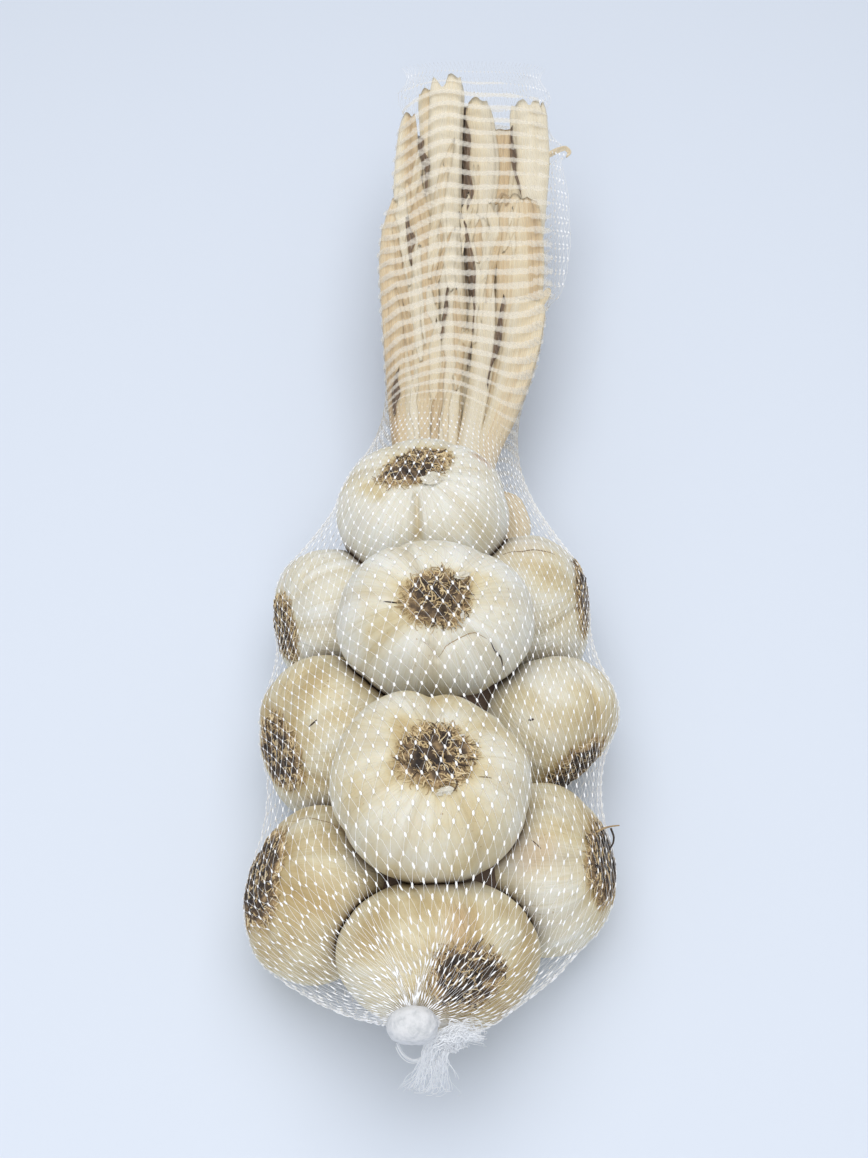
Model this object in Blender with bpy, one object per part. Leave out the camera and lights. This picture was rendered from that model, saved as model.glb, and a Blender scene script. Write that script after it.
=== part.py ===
"""A garlic braid in a sales net.

Ten bulbs are plaited round their dried stalks in three rows: two rows lie on
the surface and one rides on top of them. A fine tube of net holds the whole
braid taut. Its bulb end is gathered into a round clip and its other end goes
past the cut stalks.

Frame: metres, +Z up, +Y from the clip to the stalks' cut ends, origin on the
surface under the middle of the braid.
"""

import math

import bmesh
import bpy
import numpy as np
from mathutils import Vector

MM = 0.001

# Bulbs, all in millimetres: place of the middle, largest radius, how much
# narrower the bulb is the other way, and the way the root end points. Each row
# runs from the clip to the stalks.
TOP_ROW = [
    ((1.6, -200.1, 40.0), 32.6, 0.73, (0.34, -0.63, 0.70)),
    ((-1.0, -152.3, 63.0), 32.4, 1.00, (0.07, -0.16, 0.98)),
    ((0.3, -86.1, 61.6), 35.0, 0.80, (0.0, -0.33, 0.95)),
    ((-4.3, -29.0, 52.0), 32.1, 0.95, (-0.07, 0.02, 1.0)),
]
LEFT_ROW = [
    ((-38.6, -172.8, 26.9), 28.9, 1.02, (-0.84, 0.07, 0.54)),
    ((-36.7, -113.8, 28.5), 29.8, 1.00, (-0.81, -0.45, 0.37)),
    ((-37.9, -60.2, 26.6), 27.6, 0.99, (-0.90, -0.36, 0.25)),
]
RIGHT_ROW = [
    ((37.6, -163.5, 26.5), 28.0, 1.03, (0.91, -0.07, 0.42)),
    ((39.6, -107.0, 26.4), 27.4, 1.01, (0.57, -0.82, -0.05)),
    ((37.2, -56.1, 27.7), 28.9, 0.98, (0.94, -0.05, 0.34)),
]
WIDE_WAYS = ((1.0, 0.0, 0.0), (0.0, 0.0, 1.0))  # of the top row and of the side rows
BULB_FLATNESS = 0.76  # half height from root to shoulder over largest radius
BULB_FULLNESS = 2.3  # 2 is an ellipsoid, more is boxier
FOOT_FLAT = 1.8  # skin this close to the surface lies flat on it
CLOVES = 8  # lobes round a bulb
CLOVE_SWELL = 0.025  # height of a lobe over the largest radius

# The stalks leave the braid at its middle and rise a little, clear of the
# surface, because they are dry and stiff.
NECK_Y = 9.0
NECK_HEIGHT = 31.0
STALK_RISE = 0.147  # height gained over length
# Stalks: sideways place at the neck and at the cut end, height over or under
# the bundle's middle, where the stalk is cut along Y, width and thickness.
STALKS = [
    (-9.0, -12.0, -3.5, 204.0, 20.0, 12.0),
    (-10.0, -17.0, 3.0, 157.0, 18.0, 11.0),
    (0.0, 9.0, -3.0, 227.0, 20.0, 13.0),
    (3.0, 3.0, 3.5, 209.0, 18.0, 11.0),
    (8.0, 26.0, -3.0, 212.0, 20.0, 13.0),
    (13.0, 45.0, -3.0, 215.0, 20.0, 12.0),
    (15.0, 36.0, 3.5, 144.0, 20.0, 11.0),
    (17.0, 46.0, -2.5, 91.0, 18.0, 12.0),
]
# Slack net: sideways place, height over the bundle's middle, start and stop
# along Y, width, thickness.
SLACK = [
    (53.0, -2.0, 100.0, 185.0, 16.0, 6.0),
    (19.0, -1.0, 185.0, 245.0, 74.0, 8.0),
]

# The net's skin is a tube of rings round a core line inside the braid.
CLIP_END_Y = -226.5
STALK_END_Y = 240.0
RING_STEP_BULBS = 4.4
RING_STEP_STALKS = 7.0
BULBS_STOP_Y = 3.0
RING_POINTS = 48
CORE_HEIGHTS = [
    (CLIP_END_Y, 48.0),
    (-196.0, 40.0),
    (-30.0, 38.0),
    (NECK_Y, NECK_HEIGHT),
    (STALK_END_Y, NECK_HEIGHT + STALK_RISE * (STALK_END_Y - NECK_Y)),
]
CORE_SIDEWAYS = [
    (CLIP_END_Y, -5.5),
    (-196.0, 0.0),
    (30.0, 4.0),
    (STALK_END_Y, 19.0),
]
GATHER_RADIUS = 3.0  # of the net where it goes into the clip
OPEN_END_HALF_SIZE = (35.0, 4.0)  # of the net's flat end past the stalks
RAY_STEP = 0.4
RAY_LENGTH = 100.0
TENSION_ROUNDS = 260

# Clip: a pressed round button on the gathered net.
CLIP_PLACE = (-6.2, -229.4, 56.7)
CLIP_HALF_SIZE = (7.6, 5.2, 5.3)
CLIP_RIM = 0.5
# Tail: the crushed net that comes out of the clip, from the tuft's tip at the
# right, past the clip's lower side, to the hanging strip's tip. Each row holds
# the place, the half width and the half thickness.
TAIL_ROUTE = [
    ((13.6, -227.2, 42.0), 2.2, 1.2),
    ((10.1, -228.0, 46.6), 4.4, 2.2),
    ((6.4, -229.4, 48.2), 5.0, 2.6),
    ((3.4, -230.8, 49.8), 4.6, 2.6),
    ((1.0, -232.6, 49.2), 4.4, 2.4),
    ((0.3, -234.4, 45.6), 4.6, 2.1),
    ((0.0, -235.8, 40.8), 5.0, 1.8),
    ((-0.6, -237.0, 33.4), 5.6, 1.5),
    ((-1.2, -237.8, 25.9), 5.2, 1.1),
]
TAIL_SIDES = 12
TAIL_SUBSTEPS = 3


def clear_scene():
    for thing in list(bpy.data.objects):
        bpy.data.objects.remove(thing, do_unlink=True)


def make_material(name, colour, roughness):
    material = bpy.data.materials.new(name)
    material.use_nodes = True
    shader = material.node_tree.nodes["Principled BSDF"]
    shader.inputs["Base Color"].default_value = (*colour, 1.0)
    shader.inputs["Roughness"].default_value = roughness
    shader.inputs["Metallic"].default_value = 0.0
    return material


def add_object(name, mesh, material):
    mesh.materials.append(material)
    thing = bpy.data.objects.new(name, mesh)
    bpy.context.scene.collection.objects.link(thing)
    return thing


def unit(vector):
    vector = np.array(vector, float)
    return vector / np.linalg.norm(vector)


def all_bulbs():
    """Every bulb with the way its width is measured along."""
    top, side = WIDE_WAYS
    return [(*bulb, top) for bulb in TOP_ROW] + [(*bulb, side) for bulb in LEFT_ROW + RIGHT_ROW]


def inside_bulb(points, place, radius, narrower, root_way, wide_way):
    """True for the points inside a squat bulb with clove lobes round its side."""
    axis = unit(root_way)
    side = unit(np.array(wide_way) - axis * (axis @ wide_way))
    other = np.cross(axis, side)
    away = points - np.array(place)
    across = np.stack([away @ side, away @ other / narrower], axis=-1)
    turn = np.arctan2(across[..., 1], across[..., 0])
    lobes = 1.0 + CLOVE_SWELL * np.cos(CLOVES * turn)
    wide = np.linalg.norm(across, axis=-1) / (radius * lobes)
    tall = np.abs(away @ axis) / (radius * BULB_FLATNESS)
    return wide**BULB_FULLNESS + tall**BULB_FULLNESS < 1.0


def bundle_height(points):
    """Height of the stalk bundle's middle at each point's place along Y."""
    return NECK_HEIGHT + STALK_RISE * (points[..., 1] - NECK_Y)


def inside_stalk(points, stalk):
    """True for the points inside one flattened leaf stalk."""
    neck_x, end_x, level, end_y, width, thickness = stalk
    way = np.clip((points[..., 1] - NECK_Y) / (end_y - NECK_Y), 0.0, 1.0)
    middle_x = neck_x + (end_x - neck_x) * way**0.8
    middle_z = bundle_height(points) + level
    wide = (points[..., 0] - middle_x) / (width / 2)
    tall = (points[..., 2] - middle_z) / (thickness / 2)
    along = (points[..., 1] > NECK_Y) & (points[..., 1] < end_y)
    return (wide**2 + tall**2 < 1.0) & along


def inside_slack(points, slack):
    """True for the points inside a slack fold of net beside or past the stalks."""
    x, level, start, stop, width, thickness = slack
    wide = (points[..., 0] - x) / (width / 2)
    tall = (points[..., 2] - bundle_height(points) - level) / (thickness / 2)
    along = (points[..., 1] > start) & (points[..., 1] < stop)
    return (wide**2 + tall**2 < 1.0) & along


def ring_stations():
    """Where the rings stand along Y: close together over the bulbs."""
    over_bulbs = round((BULBS_STOP_Y - CLIP_END_Y) / RING_STEP_BULBS)
    over_stalks = round((STALK_END_Y - BULBS_STOP_Y) / RING_STEP_STALKS)
    bulbs = np.linspace(CLIP_END_Y, BULBS_STOP_Y, over_bulbs, endpoint=False)
    stalks = np.linspace(BULBS_STOP_Y, STALK_END_Y, over_stalks + 1)
    return np.concatenate([bulbs, stalks])


def core_line(stations):
    """The line inside the braid that the rings are measured from."""
    heights = np.interp(stations, *zip(*CORE_HEIGHTS))
    sideways = np.interp(stations, *zip(*CORE_SIDEWAYS))
    return np.stack([sideways, stations, heights], axis=-1)


def contents_reach(core, ways):
    """How far the bulbs and stalks reach from the core line, ring by ring."""
    bulbs = all_bulbs()
    distances = np.arange(0.0, RAY_LENGTH, RAY_STEP)
    reach = np.zeros((len(core), len(ways)))
    for row, middle in enumerate(core):
        points = middle + distances[:, None, None] * ways[None]
        filled = np.zeros(points.shape[:2], bool)
        for slack in SLACK:
            filled |= inside_slack(points, slack)
        for place, radius, narrower, root_way, wide_way in bulbs:
            if abs(place[1] - middle[1]) < 1.1 * radius:
                filled |= inside_bulb(points, place, radius, narrower, root_way, wide_way)
        for stalk in STALKS:
            filled |= inside_stalk(points, stalk)
        reach[row] = (filled * distances[:, None]).max(axis=0)
    return reach


def stretch_net(reach, ends):
    """Pull a taut skin over the contents; the end rings are held by the clip
    and by the flat open end."""
    turn = 2 * math.pi / reach.shape[1]
    skin = np.maximum(reach, 20.0)
    skin[0], skin[-1] = ends
    for _ in range(TENSION_ROUNDS):
        before = np.roll(skin, 1, axis=1)
        after = np.roll(skin, -1, axis=1)
        chord = 2 * before * after * math.cos(turn) / (before + after)
        pulled = skin.copy()
        pulled[1:-1] = 0.5 * chord[1:-1] + 0.25 * (skin[:-2] + skin[2:])
        skin = np.maximum(reach, pulled)
        skin[0], skin[-1] = ends
    return skin


def open_end_radii(angles):
    """Half widths of the flat lens that the net's open end forms."""
    half_width, half_height = OPEN_END_HALF_SIZE
    across = np.cos(angles) / half_width
    upward = np.sin(angles) / half_height
    return 1.0 / np.sqrt(across**2 + upward**2)


def tube_mesh(name, rings):
    """Join rings of points into one closed body with a fan at each end."""
    mesh = bpy.data.meshes.new(name)
    body = bmesh.new()
    loops = [[body.verts.new(Vector(point) * MM) for point in ring] for ring in rings]
    count = len(loops[0])
    for near, far in zip(loops, loops[1:]):
        for i in range(count):
            j = (i + 1) % count
            body.faces.new((near[i], near[j], far[j], far[i]))
    for ring, loop in ((rings[0], loops[0]), (rings[-1], loops[-1])):
        middle = body.verts.new(Vector(np.mean(ring, axis=0)) * MM)
        for i in range(count):
            body.faces.new((middle, loop[i], loop[(i + 1) % count]))
    bmesh.ops.recalc_face_normals(body, faces=body.faces)
    bmesh.ops.triangulate(body, faces=body.faces)
    body.to_mesh(mesh)
    body.free()
    mesh.shade_smooth()
    mesh.set_sharp_from_angle(angle=math.radians(50))
    return mesh


def make_netted_braid(material):
    angles = np.arange(RING_POINTS) * 2 * math.pi / RING_POINTS
    ways = np.stack([np.cos(angles), 0 * angles, np.sin(angles)], axis=-1)
    core = core_line(ring_stations())
    reach = contents_reach(core, ways)
    ends = (np.full(RING_POINTS, GATHER_RADIUS), open_end_radii(angles))
    skin = stretch_net(reach, ends)
    rings = core[:, None] + skin[:, :, None] * ways[None]
    rings[..., 2] = np.where(rings[..., 2] < FOOT_FLAT, 0.0, rings[..., 2])
    return add_object("netted_braid", tube_mesh("netted_braid", rings), material)


def make_clip(material):
    mesh = bpy.data.meshes.new("clip")
    body = bmesh.new()
    bmesh.ops.create_uvsphere(body, u_segments=24, v_segments=12, radius=1.0)
    for vert in body.verts:
        rim = CLIP_RIM * (1.0 - abs(vert.co.z)) ** 4
        grown = [half + rim for half in CLIP_HALF_SIZE]
        vert.co = Vector(vert.co[i] * grown[i] + CLIP_PLACE[i] for i in range(3)) * MM
    bmesh.ops.triangulate(body, faces=body.faces)
    body.to_mesh(mesh)
    body.free()
    mesh.shade_smooth()
    return add_object("clip", mesh, material)


def tail_sections():
    """Places and half sizes along the tail, smoothed between the route's rows."""
    rows = np.array([[*place, wide, thick] for place, wide, thick in TAIL_ROUTE])
    sections = []
    for i in range(len(rows) - 1):
        before, here = rows[max(i - 1, 0)], rows[i]
        there, after = rows[i + 1], rows[min(i + 2, len(rows) - 1)]
        for step in range(TAIL_SUBSTEPS):
            t = step / TAIL_SUBSTEPS
            sections.append(
                0.5 * (2 * here + (there - before) * t
                       + (2 * before - 5 * here + 4 * there - after) * t**2
                       + (3 * here - before - 3 * there + after) * t**3)
            )
    sections.append(rows[-1])
    return np.array(sections)


def make_net_tail(material):
    sections = tail_sections()
    places = sections[:, :3]
    forward = np.gradient(places, axis=0)
    rings = []
    for place, way, wide, thick in zip(places, forward, sections[:, 3], sections[:, 4]):
        way = unit(way)
        toward_front = np.array((0.0, -1.0, 0.0))
        across = unit(np.cross(way, toward_front))
        outward = np.cross(across, way)
        turns = np.arange(TAIL_SIDES) * 2 * math.pi / TAIL_SIDES
        rings.append(
            [place + wide * math.cos(a) * across + thick * math.sin(a) * outward for a in turns]
        )
    return add_object("net_tail", tube_mesh("net_tail", np.array(rings)), material)


def main():
    clear_scene()
    braid_finish = make_material("garlic_in_net", (0.80, 0.72, 0.55), 0.6)
    clip_finish = make_material("white_clip", (0.88, 0.89, 0.90), 0.35)
    tail_finish = make_material("white_net", (0.85, 0.87, 0.90), 0.45)
    make_netted_braid(braid_finish)
    make_clip(clip_finish)
    make_net_tail(tail_finish)


main()
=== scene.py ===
import math

import bpy
import numpy as np
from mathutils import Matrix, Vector
from mathutils.bvhtree import BVHTree


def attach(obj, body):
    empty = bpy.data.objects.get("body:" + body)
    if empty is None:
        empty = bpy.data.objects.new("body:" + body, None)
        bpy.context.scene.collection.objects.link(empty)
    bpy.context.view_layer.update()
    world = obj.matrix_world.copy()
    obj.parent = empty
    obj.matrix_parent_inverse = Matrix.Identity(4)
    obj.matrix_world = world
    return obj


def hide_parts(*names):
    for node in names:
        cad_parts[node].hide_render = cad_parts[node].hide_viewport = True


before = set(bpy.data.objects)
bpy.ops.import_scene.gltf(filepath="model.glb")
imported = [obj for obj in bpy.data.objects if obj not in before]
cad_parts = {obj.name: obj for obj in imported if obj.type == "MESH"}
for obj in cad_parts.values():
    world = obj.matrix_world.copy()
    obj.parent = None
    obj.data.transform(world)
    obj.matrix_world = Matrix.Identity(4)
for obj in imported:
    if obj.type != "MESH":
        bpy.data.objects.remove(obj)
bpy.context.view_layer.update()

MM = 0.001

# ---------------------------------------------------------------- the braid's sizes, in mm
# Each bulb: name, place of its middle, largest radius, how much narrower it is
# the other way, way the root end points, the way its clove angles are counted
# from, the grooves between its cloves as (angle, depth), how straw coloured its
# skin is, half sizes of the root crust along and across that way, and a seed.
# The bulbs that lie in front come first in each place.
UP, RIGHT = (0.0, 0.0, 1.0), (1.0, 0.0, 0.0)
BULBS = [
    ("top_2", (-1.0, -152.3, 63.0), 32.4, 1.00, (0.07, -0.16, 0.98), RIGHT,
     [(35, 0.3), (93, 0.6), (160, 0.3), (207, 0.5), (250, 0.2), (300, 0.4), (347, 0.2)],
     0.21, (12.5, 10.5), 12),
    ("top_3", (0.3, -86.1, 61.6), 35.0, 0.80, (0.00, -0.33, 0.95), RIGHT,
     [(50, 0.2), (119, 0.5), (172, 0.2), (218, 0.3), (268, 0.5), (317, 0.4), (4, 0.2)],
     -0.01, (12.0, 9.5), 13),
    ("top_4", (-4.3, -29.0, 52.0), 32.1, 0.95, (-0.07, 0.02, 1.0), RIGHT,
     [(268, 1.0), (322, 0.2), (12, 0.3), (62, 0.4), (118, 0.3), (166, 0.5), (214, 0.2)],
     -0.10, (15.0, 7.8), 14),
    ("top_1", (1.6, -200.1, 40.0), 32.6, 0.73, (0.34, -0.63, 0.70), RIGHT,
     [(20, 0.3), (75, 0.3), (112, 0.2), (160, 0.4), (215, 0.4), (262, 0.4), (318, 0.3)],
     0.55, (12.0, 10.5), 11),
    ("left_1", (-38.6, -172.8, 26.9), 28.9, 1.02, (-0.84, 0.07, 0.54), UP,
     [(10, 0.2), (60, 0.4), (118, 0.3), (170, 0.5), (222, 0.3), (275, 0.4), (325, 0.3)],
     0.66, (14.0, 20.0), 21),
    ("left_2", (-36.7, -113.8, 28.5), 29.8, 1.00, (-0.81, -0.45, 0.37), UP,
     [(30, 0.4), (78, 0.2), (122, 0.4), (176, 0.3), (230, 0.3), (285, 0.6), (340, 0.4)],
     0.48, (12.0, 17.0), 22),
    ("left_3", (-37.9, -60.2, 26.6), 27.6, 0.99, (-0.90, -0.36, 0.25), UP,
     [(5, 0.2), (56, 0.3), (110, 0.4), (168, 0.5), (221, 0.2), (270, 0.2), (318, 0.2)],
     0.00, (9.5, 12.5), 23),
    ("right_1", (37.6, -163.5, 26.5), 28.0, 1.03, (0.91, -0.07, 0.42), UP,
     [(25, 0.5), (72, 0.3), (120, 0.4), (171, 0.4), (225, 0.3), (280, 0.6), (333, 0.4)],
     0.47, (13.0, 16.5), 31),
    ("right_2", (39.6, -107.0, 26.4), 27.4, 1.01, (0.57, -0.82, -0.05), UP,
     [(15, 0.2), (66, 0.2), (115, 0.3), (172, 0.4), (228, 0.3), (282, 0.3), (331, 0.2)],
     0.42, (14.5, 15.0), 32),
    ("right_3", (37.2, -56.1, 27.7), 28.9, 0.98, (0.94, -0.05, 0.34), UP,
     [(0, 0.2), (52, 0.3), (104, 0.3), (160, 0.5), (214, 0.4), (268, 0.3), (320, 0.3)],
     0.15, (10.5, 16.5), 33),
]
# How far the crust of a bulb is turned round the root way, in degrees, and how
# far it sits off it.
CRUST_TURN = {"top_4": (24.0, 0.0, 3.5), "top_2": (8.0, 0.0, 0.5), "right_2": (0.0, 0.0, 2.0),
              "left_1": (14.0, 0.0, -2.0)}
# What else the skins show: kind, strength, half width in mm, and the line it
# follows as (turn, angle from the root end) in degrees. A dent is pressed in by
# its strength in mm. Dark is dirt or a torn edge, straw and bare make the skin
# yellower or whiter, blush is pink brown. A split is a thin line where the skin
# has cracked, from 0 for black to 1 for straw.
MARKS = {
    "top_2": [
        ("dent", 2.2, 7.0, [(91, 82), (94, 46)]), ("dent", 2.2, 13.0, [(58, 80), (56, 66)]),
        ("dent", 0.9, 3.0, [(195, 34), (196, 80)]), ("dent", 0.7, 2.5, [(222, 36), (226, 84)]),
        ("straw", 0.35, 5.0, [(132, 38), (143, 29)]), ("straw", 0.30, 6.0, [(198, 36), (200, 60)]),
        ("straw", 0.25, 7.0, [(300, 40), (318, 60)]), ("straw", 0.25, 7.0, [(75, 50), (80, 66)]),
        ("split", 0.35, 0.18, [(337, 32), (342, 41)]), ("straw", 0.30, 12.0, [(235, 86), (300, 88)]),
    ],
    "top_3": [
        ("dent", 1.3, 1.9, [(115, 62), (120, 26)]), ("dark", 0.35, 0.9, [(115, 60), (120, 27)]),
        ("dent", 0.7, 1.3, [(254, 33), (261, 34), (268, 39), (273, 44)]),
        ("dent", 0.5, 1.3, [(273, 44), (282, 36), (302, 33), (320, 38), (324, 46)]),
        ("split", 0.55, 0.15, [(254, 33), (261, 34), (268, 39), (273, 44)]),
        ("split", 0.50, 0.16, [(273, 44), (282, 36), (302, 33), (320, 38), (324, 46)]),
        ("split", 0.10, 0.30, [(325, 48), (322, 58), (320, 79)]),
        ("dark", 0.20, 0.9, [(325, 48), (322, 58), (320, 79)]),
        ("split", 0.05, 0.30, [(183, 36), (185, 24)]),
        ("bare", 0.45, 7.0, [(258, 48), (262, 62)]), ("bare", 0.50, 9.0, [(296, 50), (303, 66)]),
        ("straw", 0.50, 5.5, [(31, 29), (24, 42)]), ("straw", 0.32, 8.0, [(200, 40), (214, 59)]),
        ("straw", 0.40, 8.0, [(2, 46), (350, 58)]), ("straw", 0.25, 8.0, [(95, 50), (70, 60)]),
    ],
    "top_4": [
        ("dent", 1.5, 1.5, [(265, 24), (269, 45), (269, 62)]),
        ("dent", 1.8, 7.0, [(267, 30), (269, 75)]), ("straw", 0.60, 1.6, [(265, 22), (269, 58)]),
        ("blush", 0.95, 2.6, [(30, 56), (24, 63)]), ("dark", 0.35, 1.0, [(31, 56), (25, 63)]),
        ("straw", 0.40, 4.5, [(196, 40), (210, 38)]), ("straw", 0.35, 5.0, [(55, 38), (80, 34)]),
    ],
    "top_1": [
        ("blush", 0.60, 5.5, [(88, 44), (100, 30)]), ("straw", 0.35, 6.0, [(47, 57)]),
        ("straw", 0.35, 9.0, [(158, 71), (135, 74)]), ("dent", 0.9, 2.4, [(112, 76), (130, 40)]),
        ("straw", 0.55, 9.0, [(325, 45), (20, 62)]),
    ],
    "left_1": [
        ("split", 0.45, 0.18, [(66, 47), (28, 71), (20, 82)]), ("straw", 0.35, 11.0, [(338, 53)]),
    ],
    "left_2": [
        ("split", 0.15, 0.30, [(343, 47), (345, 55)]), ("dent", 0.8, 3.0, [(350, 40), (352, 90)]),
        ("straw", 0.30, 9.0, [(20, 60)]),
    ],
    "right_1": [
        ("blush", 0.55, 5.5, [(19, 81), (14, 72)]), ("split", 0.30, 0.20, [(9, 78), (15, 72)]),
        ("dent", 0.9, 3.0, [(25, 50), (28, 95)]),
    ],
    "right_2": [
        ("split", 0.15, 0.45, [(26, 78), (29, 80)]), ("straw", 0.30, 11.0, [(330, 60), (350, 70)]),
    ],
    "right_3": [
        ("split", 0.38, 0.22, [(347, 96), (347, 81), (344, 67), (342, 56)]),
        ("blush", 0.25, 9.0, [(340, 80)]), ("straw", 0.30, 8.0, [(10, 60)]),
    ],
}
# Loose bits of papery skin: bulb, turn and angle from the root end in degrees,
# half length and half width in mm, and how they are turned.
FLAKES = [
    ("top_2", 282, 25, 2.6, 1.5, 10), ("top_2", 50, 22, 3.0, 0.8, 20),
    ("top_3", 43, 26, 3.4, 1.2, 25), ("top_4", 342, 16, 5.6, 1.9, 26),
    ("top_3", 330, 23, 1.6, 0.7, 70), ("top_4", 325, 21, 3.4, 1.0, 30),
]
SPLIT_STATIONS = 20
BULB_FLATNESS = 0.76
BULB_FULLNESS = 2.3       # 2 is an ellipsoid, more is boxier
CLOVE_BULGE = 0.026
TOP_MESH, SIDE_MESH = (256, 160), (160, 100)   # segments and rings of a bulb
FLAKE_MESH, CLIP_MESH = (72, 24), (128, 80)
GROOVE_WIDTH = math.radians(6.0)
ROOT_PIT = 2.6            # depth of the hollow that the roots sit in
PRESS_GAP = 0.3           # between two bulbs where they are pressed together
PAINTED_SHADE_DEPTH = 2.1          # how far out from there the skins carry painted shade
FLOOR_GAP = 0.25          # lowest place of any skin over the surface

CRUST_SIDES = 64
ROOTLETS = 400            # on each bulb
ROOT_FRINGE = 170         # fine pale fibres round the crust
ROOTLET_STEPS = 8

# The stalks' middle height at a place along Y.
NECK_Y, NECK_HEIGHT, STALK_RISE = 9.0, 31.0, 0.147
# Each stalk from its cut end to the neck: rows of place along Y, place across,
# height over the bundle's middle, width and thickness; then its seed and how
# brown it is. The first three lie low behind the rest, and their dark brown is
# painted shade in the gaps between the stalks.
STALKS = [
    ([(214, 14, -4, 20, 8), (120, 14, -4, 22, 9), (60, 10, -4, 18, 9), (-8, 2.4, -4, 14, 9)], 41, 0.8),
    ([(200, 33, -4, 19, 8), (120, 30, -4, 22, 9), (60, 22, -4, 18, 9), (-8, 8, -4, 14, 9)], 42, 0.55),
    ([(188, -4, -4, 16, 8), (120, -6, -4, 20, 9), (60, -6, -4, 15, 9), (-8, -4, -4, 12, 9)], 43, 0.65),
    ([(222, -3.5, 0.5, 9, 6), (190, -2, 0.5, 9, 6), (148, 0, 0, 9, 6), (91, 3, -1, 9, 6),
      (-8, 0, -2, 8, 6)], 44, 0.25),
    ([(215, 45, 1, 15, 7), (180, 45.5, 1, 16, 8), (148, 42, 0, 17, 8), (91, 36, -2, 16, 8),
      (39, 24, -3, 13, 8), (-8, 12, -3, 10, 8)], 45, 0.15),
    ([(214, 20.5, 2, 13, 6), (175, 23.5, 2, 15, 7), (148, 22, 1.5, 12, 7), (91, 20, -2, 10, 7),
      (-8, 7.2, -3, 8, 7)], 46, 0.10),
    ([(205, -12, 1, 8, 5), (190, -12.2, 1.5, 10, 6), (165, -11.8, 2, 13, 7),
      (148, -9.5, 2.5, 16, 7), (115, -5, 3, 17, 8), (75, -4.5, 3, 15, 8), (39, -6.5, 2, 12, 8),
      (-8, -5.6, 0, 10, 8)], 47, 0.2),
    ([(227, 6.6, 3.2, 17, 7), (190, 6, 3.4, 16, 8), (148, 6.5, 3.6, 14, 8), (91, 9.5, 4, 12, 8),
      (39, 7, 3, 11, 8), (-8, 4, 1, 9, 8)], 48, 0.05),
    ([(150, -16.5, 4, 8, 5), (138, -17.5, 4, 12, 6), (115, -18, 3.5, 13.5, 7),
      (75, -16.5, 3, 10.5, 7), (39, -15, 1.5, 8, 7), (-8, -10, -1, 7, 7)], 49, 0.35),
    ([(150, 38, 4.5, 18, 6), (115, 37.5, 4.8, 19, 7), (91, 36, 4, 18, 7), (39, 24, 1, 13, 7),
      (-8, 11.2, -1, 10, 7)], 50, 0.1),
    ([(140, 19.5, 4.6, 12, 6), (115, 20.5, 5, 11, 7), (91, 22, 5, 10, 7), (60, 20.5, 4.5, 10, 7),
      (36, 16.5, 3.5, 9.5, 7), (-8, 8.8, 1, 9, 7)], 51, 0.15),
    ([(92, 39, 6, 17, 5.5), (70, 36.5, 6, 16, 6), (55, 33.2, 5.5, 15, 6.5), (34, 27, 4.5, 13, 7),
      (20, 21.5, 3, 11, 7), (-8, 13.6, 1, 9, 7)], 52, 0.2),
]
STALK_STATIONS, STALK_SIDES = 64, 40
STALK_TEAR = 2.0          # how unevenly a stalk is cut
STALK_ROUNDING = 2.5      # how much further its middle reaches than its edges
STALK_SPLIT = 8.0         # depth of the splits down from a cut end
STALK_HOLLOW = 9.0        # depth of the hollow in a cut end

# Thin dry strips: name, rows of place, half width, half thickness, how brown.
STRIPS = [
    ("neck_strip", [((27, -5, 36), 3.0, 1.2), ((30.5, -12, 38.5), 5.0, 1.4), ((31.5, -22, 37.5), 6.5, 1.5),
                    ((29.5, -33, 35), 6.5, 1.4), ((26, -46, 28), 5.0, 1.0)], 0.32),
    ("stalk_curl_1", [((47, 178, 56), 1.8, 0.5), ((52, 182, 58), 1.6, 0.5), ((57, 186, 58), 1.4, 0.4),
                      ((61, 190, 56.5), 1.3, 0.4), ((63.2, 188.5, 55), 1.2, 0.4),
                      ((61.5, 185.5, 54.5), 1.0, 0.3)], 0.30),
    ("stalk_curl_2", [((27.5, 148, 57), 1.2, 0.4), ((30.5, 152, 59.5), 1.2, 0.4),
                      ((33, 150, 59.5), 1.1, 0.4), ((32, 146, 58), 0.9, 0.3)], 0.55),
    ("stalk_curl_3", [((45, 88, 50), 2.0, 0.4), ((47.5, 93, 52), 1.8, 0.4),
                      ((49, 97, 51.5), 1.4, 0.4), ((49.5, 100, 50), 1.0, 0.3)], 0.25),
]
STRIP_STATIONS, STRIP_SIDES = 40, 24
# Loose shreds of dry leaf along the stalks: how many, and at a place along Y
# the bundle's middle and half width that they lie over.
SHREDS, SHRED_STATIONS, SHRED_LANES = 46, 26, 5
SHRED_SPREAD = [(10.0, 3.0, 12.0), (60.0, 9.0, 20.0), (110.0, 10.0, 27.0), (150.0, 13.0, 30.0),
                (200.0, 16.0, 29.0)]
# Dark strips laid where two leaves part, as painted shadow in the folds: rows of place across, place along Y
# and half width.
FOLD_SHADOW_STRIPS = [
    [(15, 207, 0.3), (15, 185, 1.7), (15, 156, 2.3), (14, 144, 2.4)],
    [(11, 144, 0.5), (14, 134, 1.2), (16, 107, 1.4), (17, 89, 1.3), (14, 63, 0.9)],
    [(-12, 139, 1.9), (-10, 125, 1.5), (-10, 111, 1.0)],
    [(30, 94, 1.6), (28, 79, 1.4), (25, 62, 0.8), (22, 47, 0.6)],
    [(36, 200, 1.4), (36, 182, 1.1), (37, 168, 0.7), (39, 151, 0.5)],
    [(-7, 198, 1.1), (-6, 185, 1.4), (-3, 170, 1.1), (-4, 156, 0.7)],
    [(6, 97, 0.8), (4, 79, 0.9), (1, 65, 0.6)],
    [(-15, 57, 1.0), (-16, 46, 1.4), (-16, 35, 1.3)],
]

# The plaited stalks inside the braid.
CORE_SPAN, CORE_LEVEL, CORE_HALF_SIZE = (-212.0, 12.0), 30.0, (26.0, 22.0)
CORE_STATIONS, CORE_SIDES = 80, 60

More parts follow.
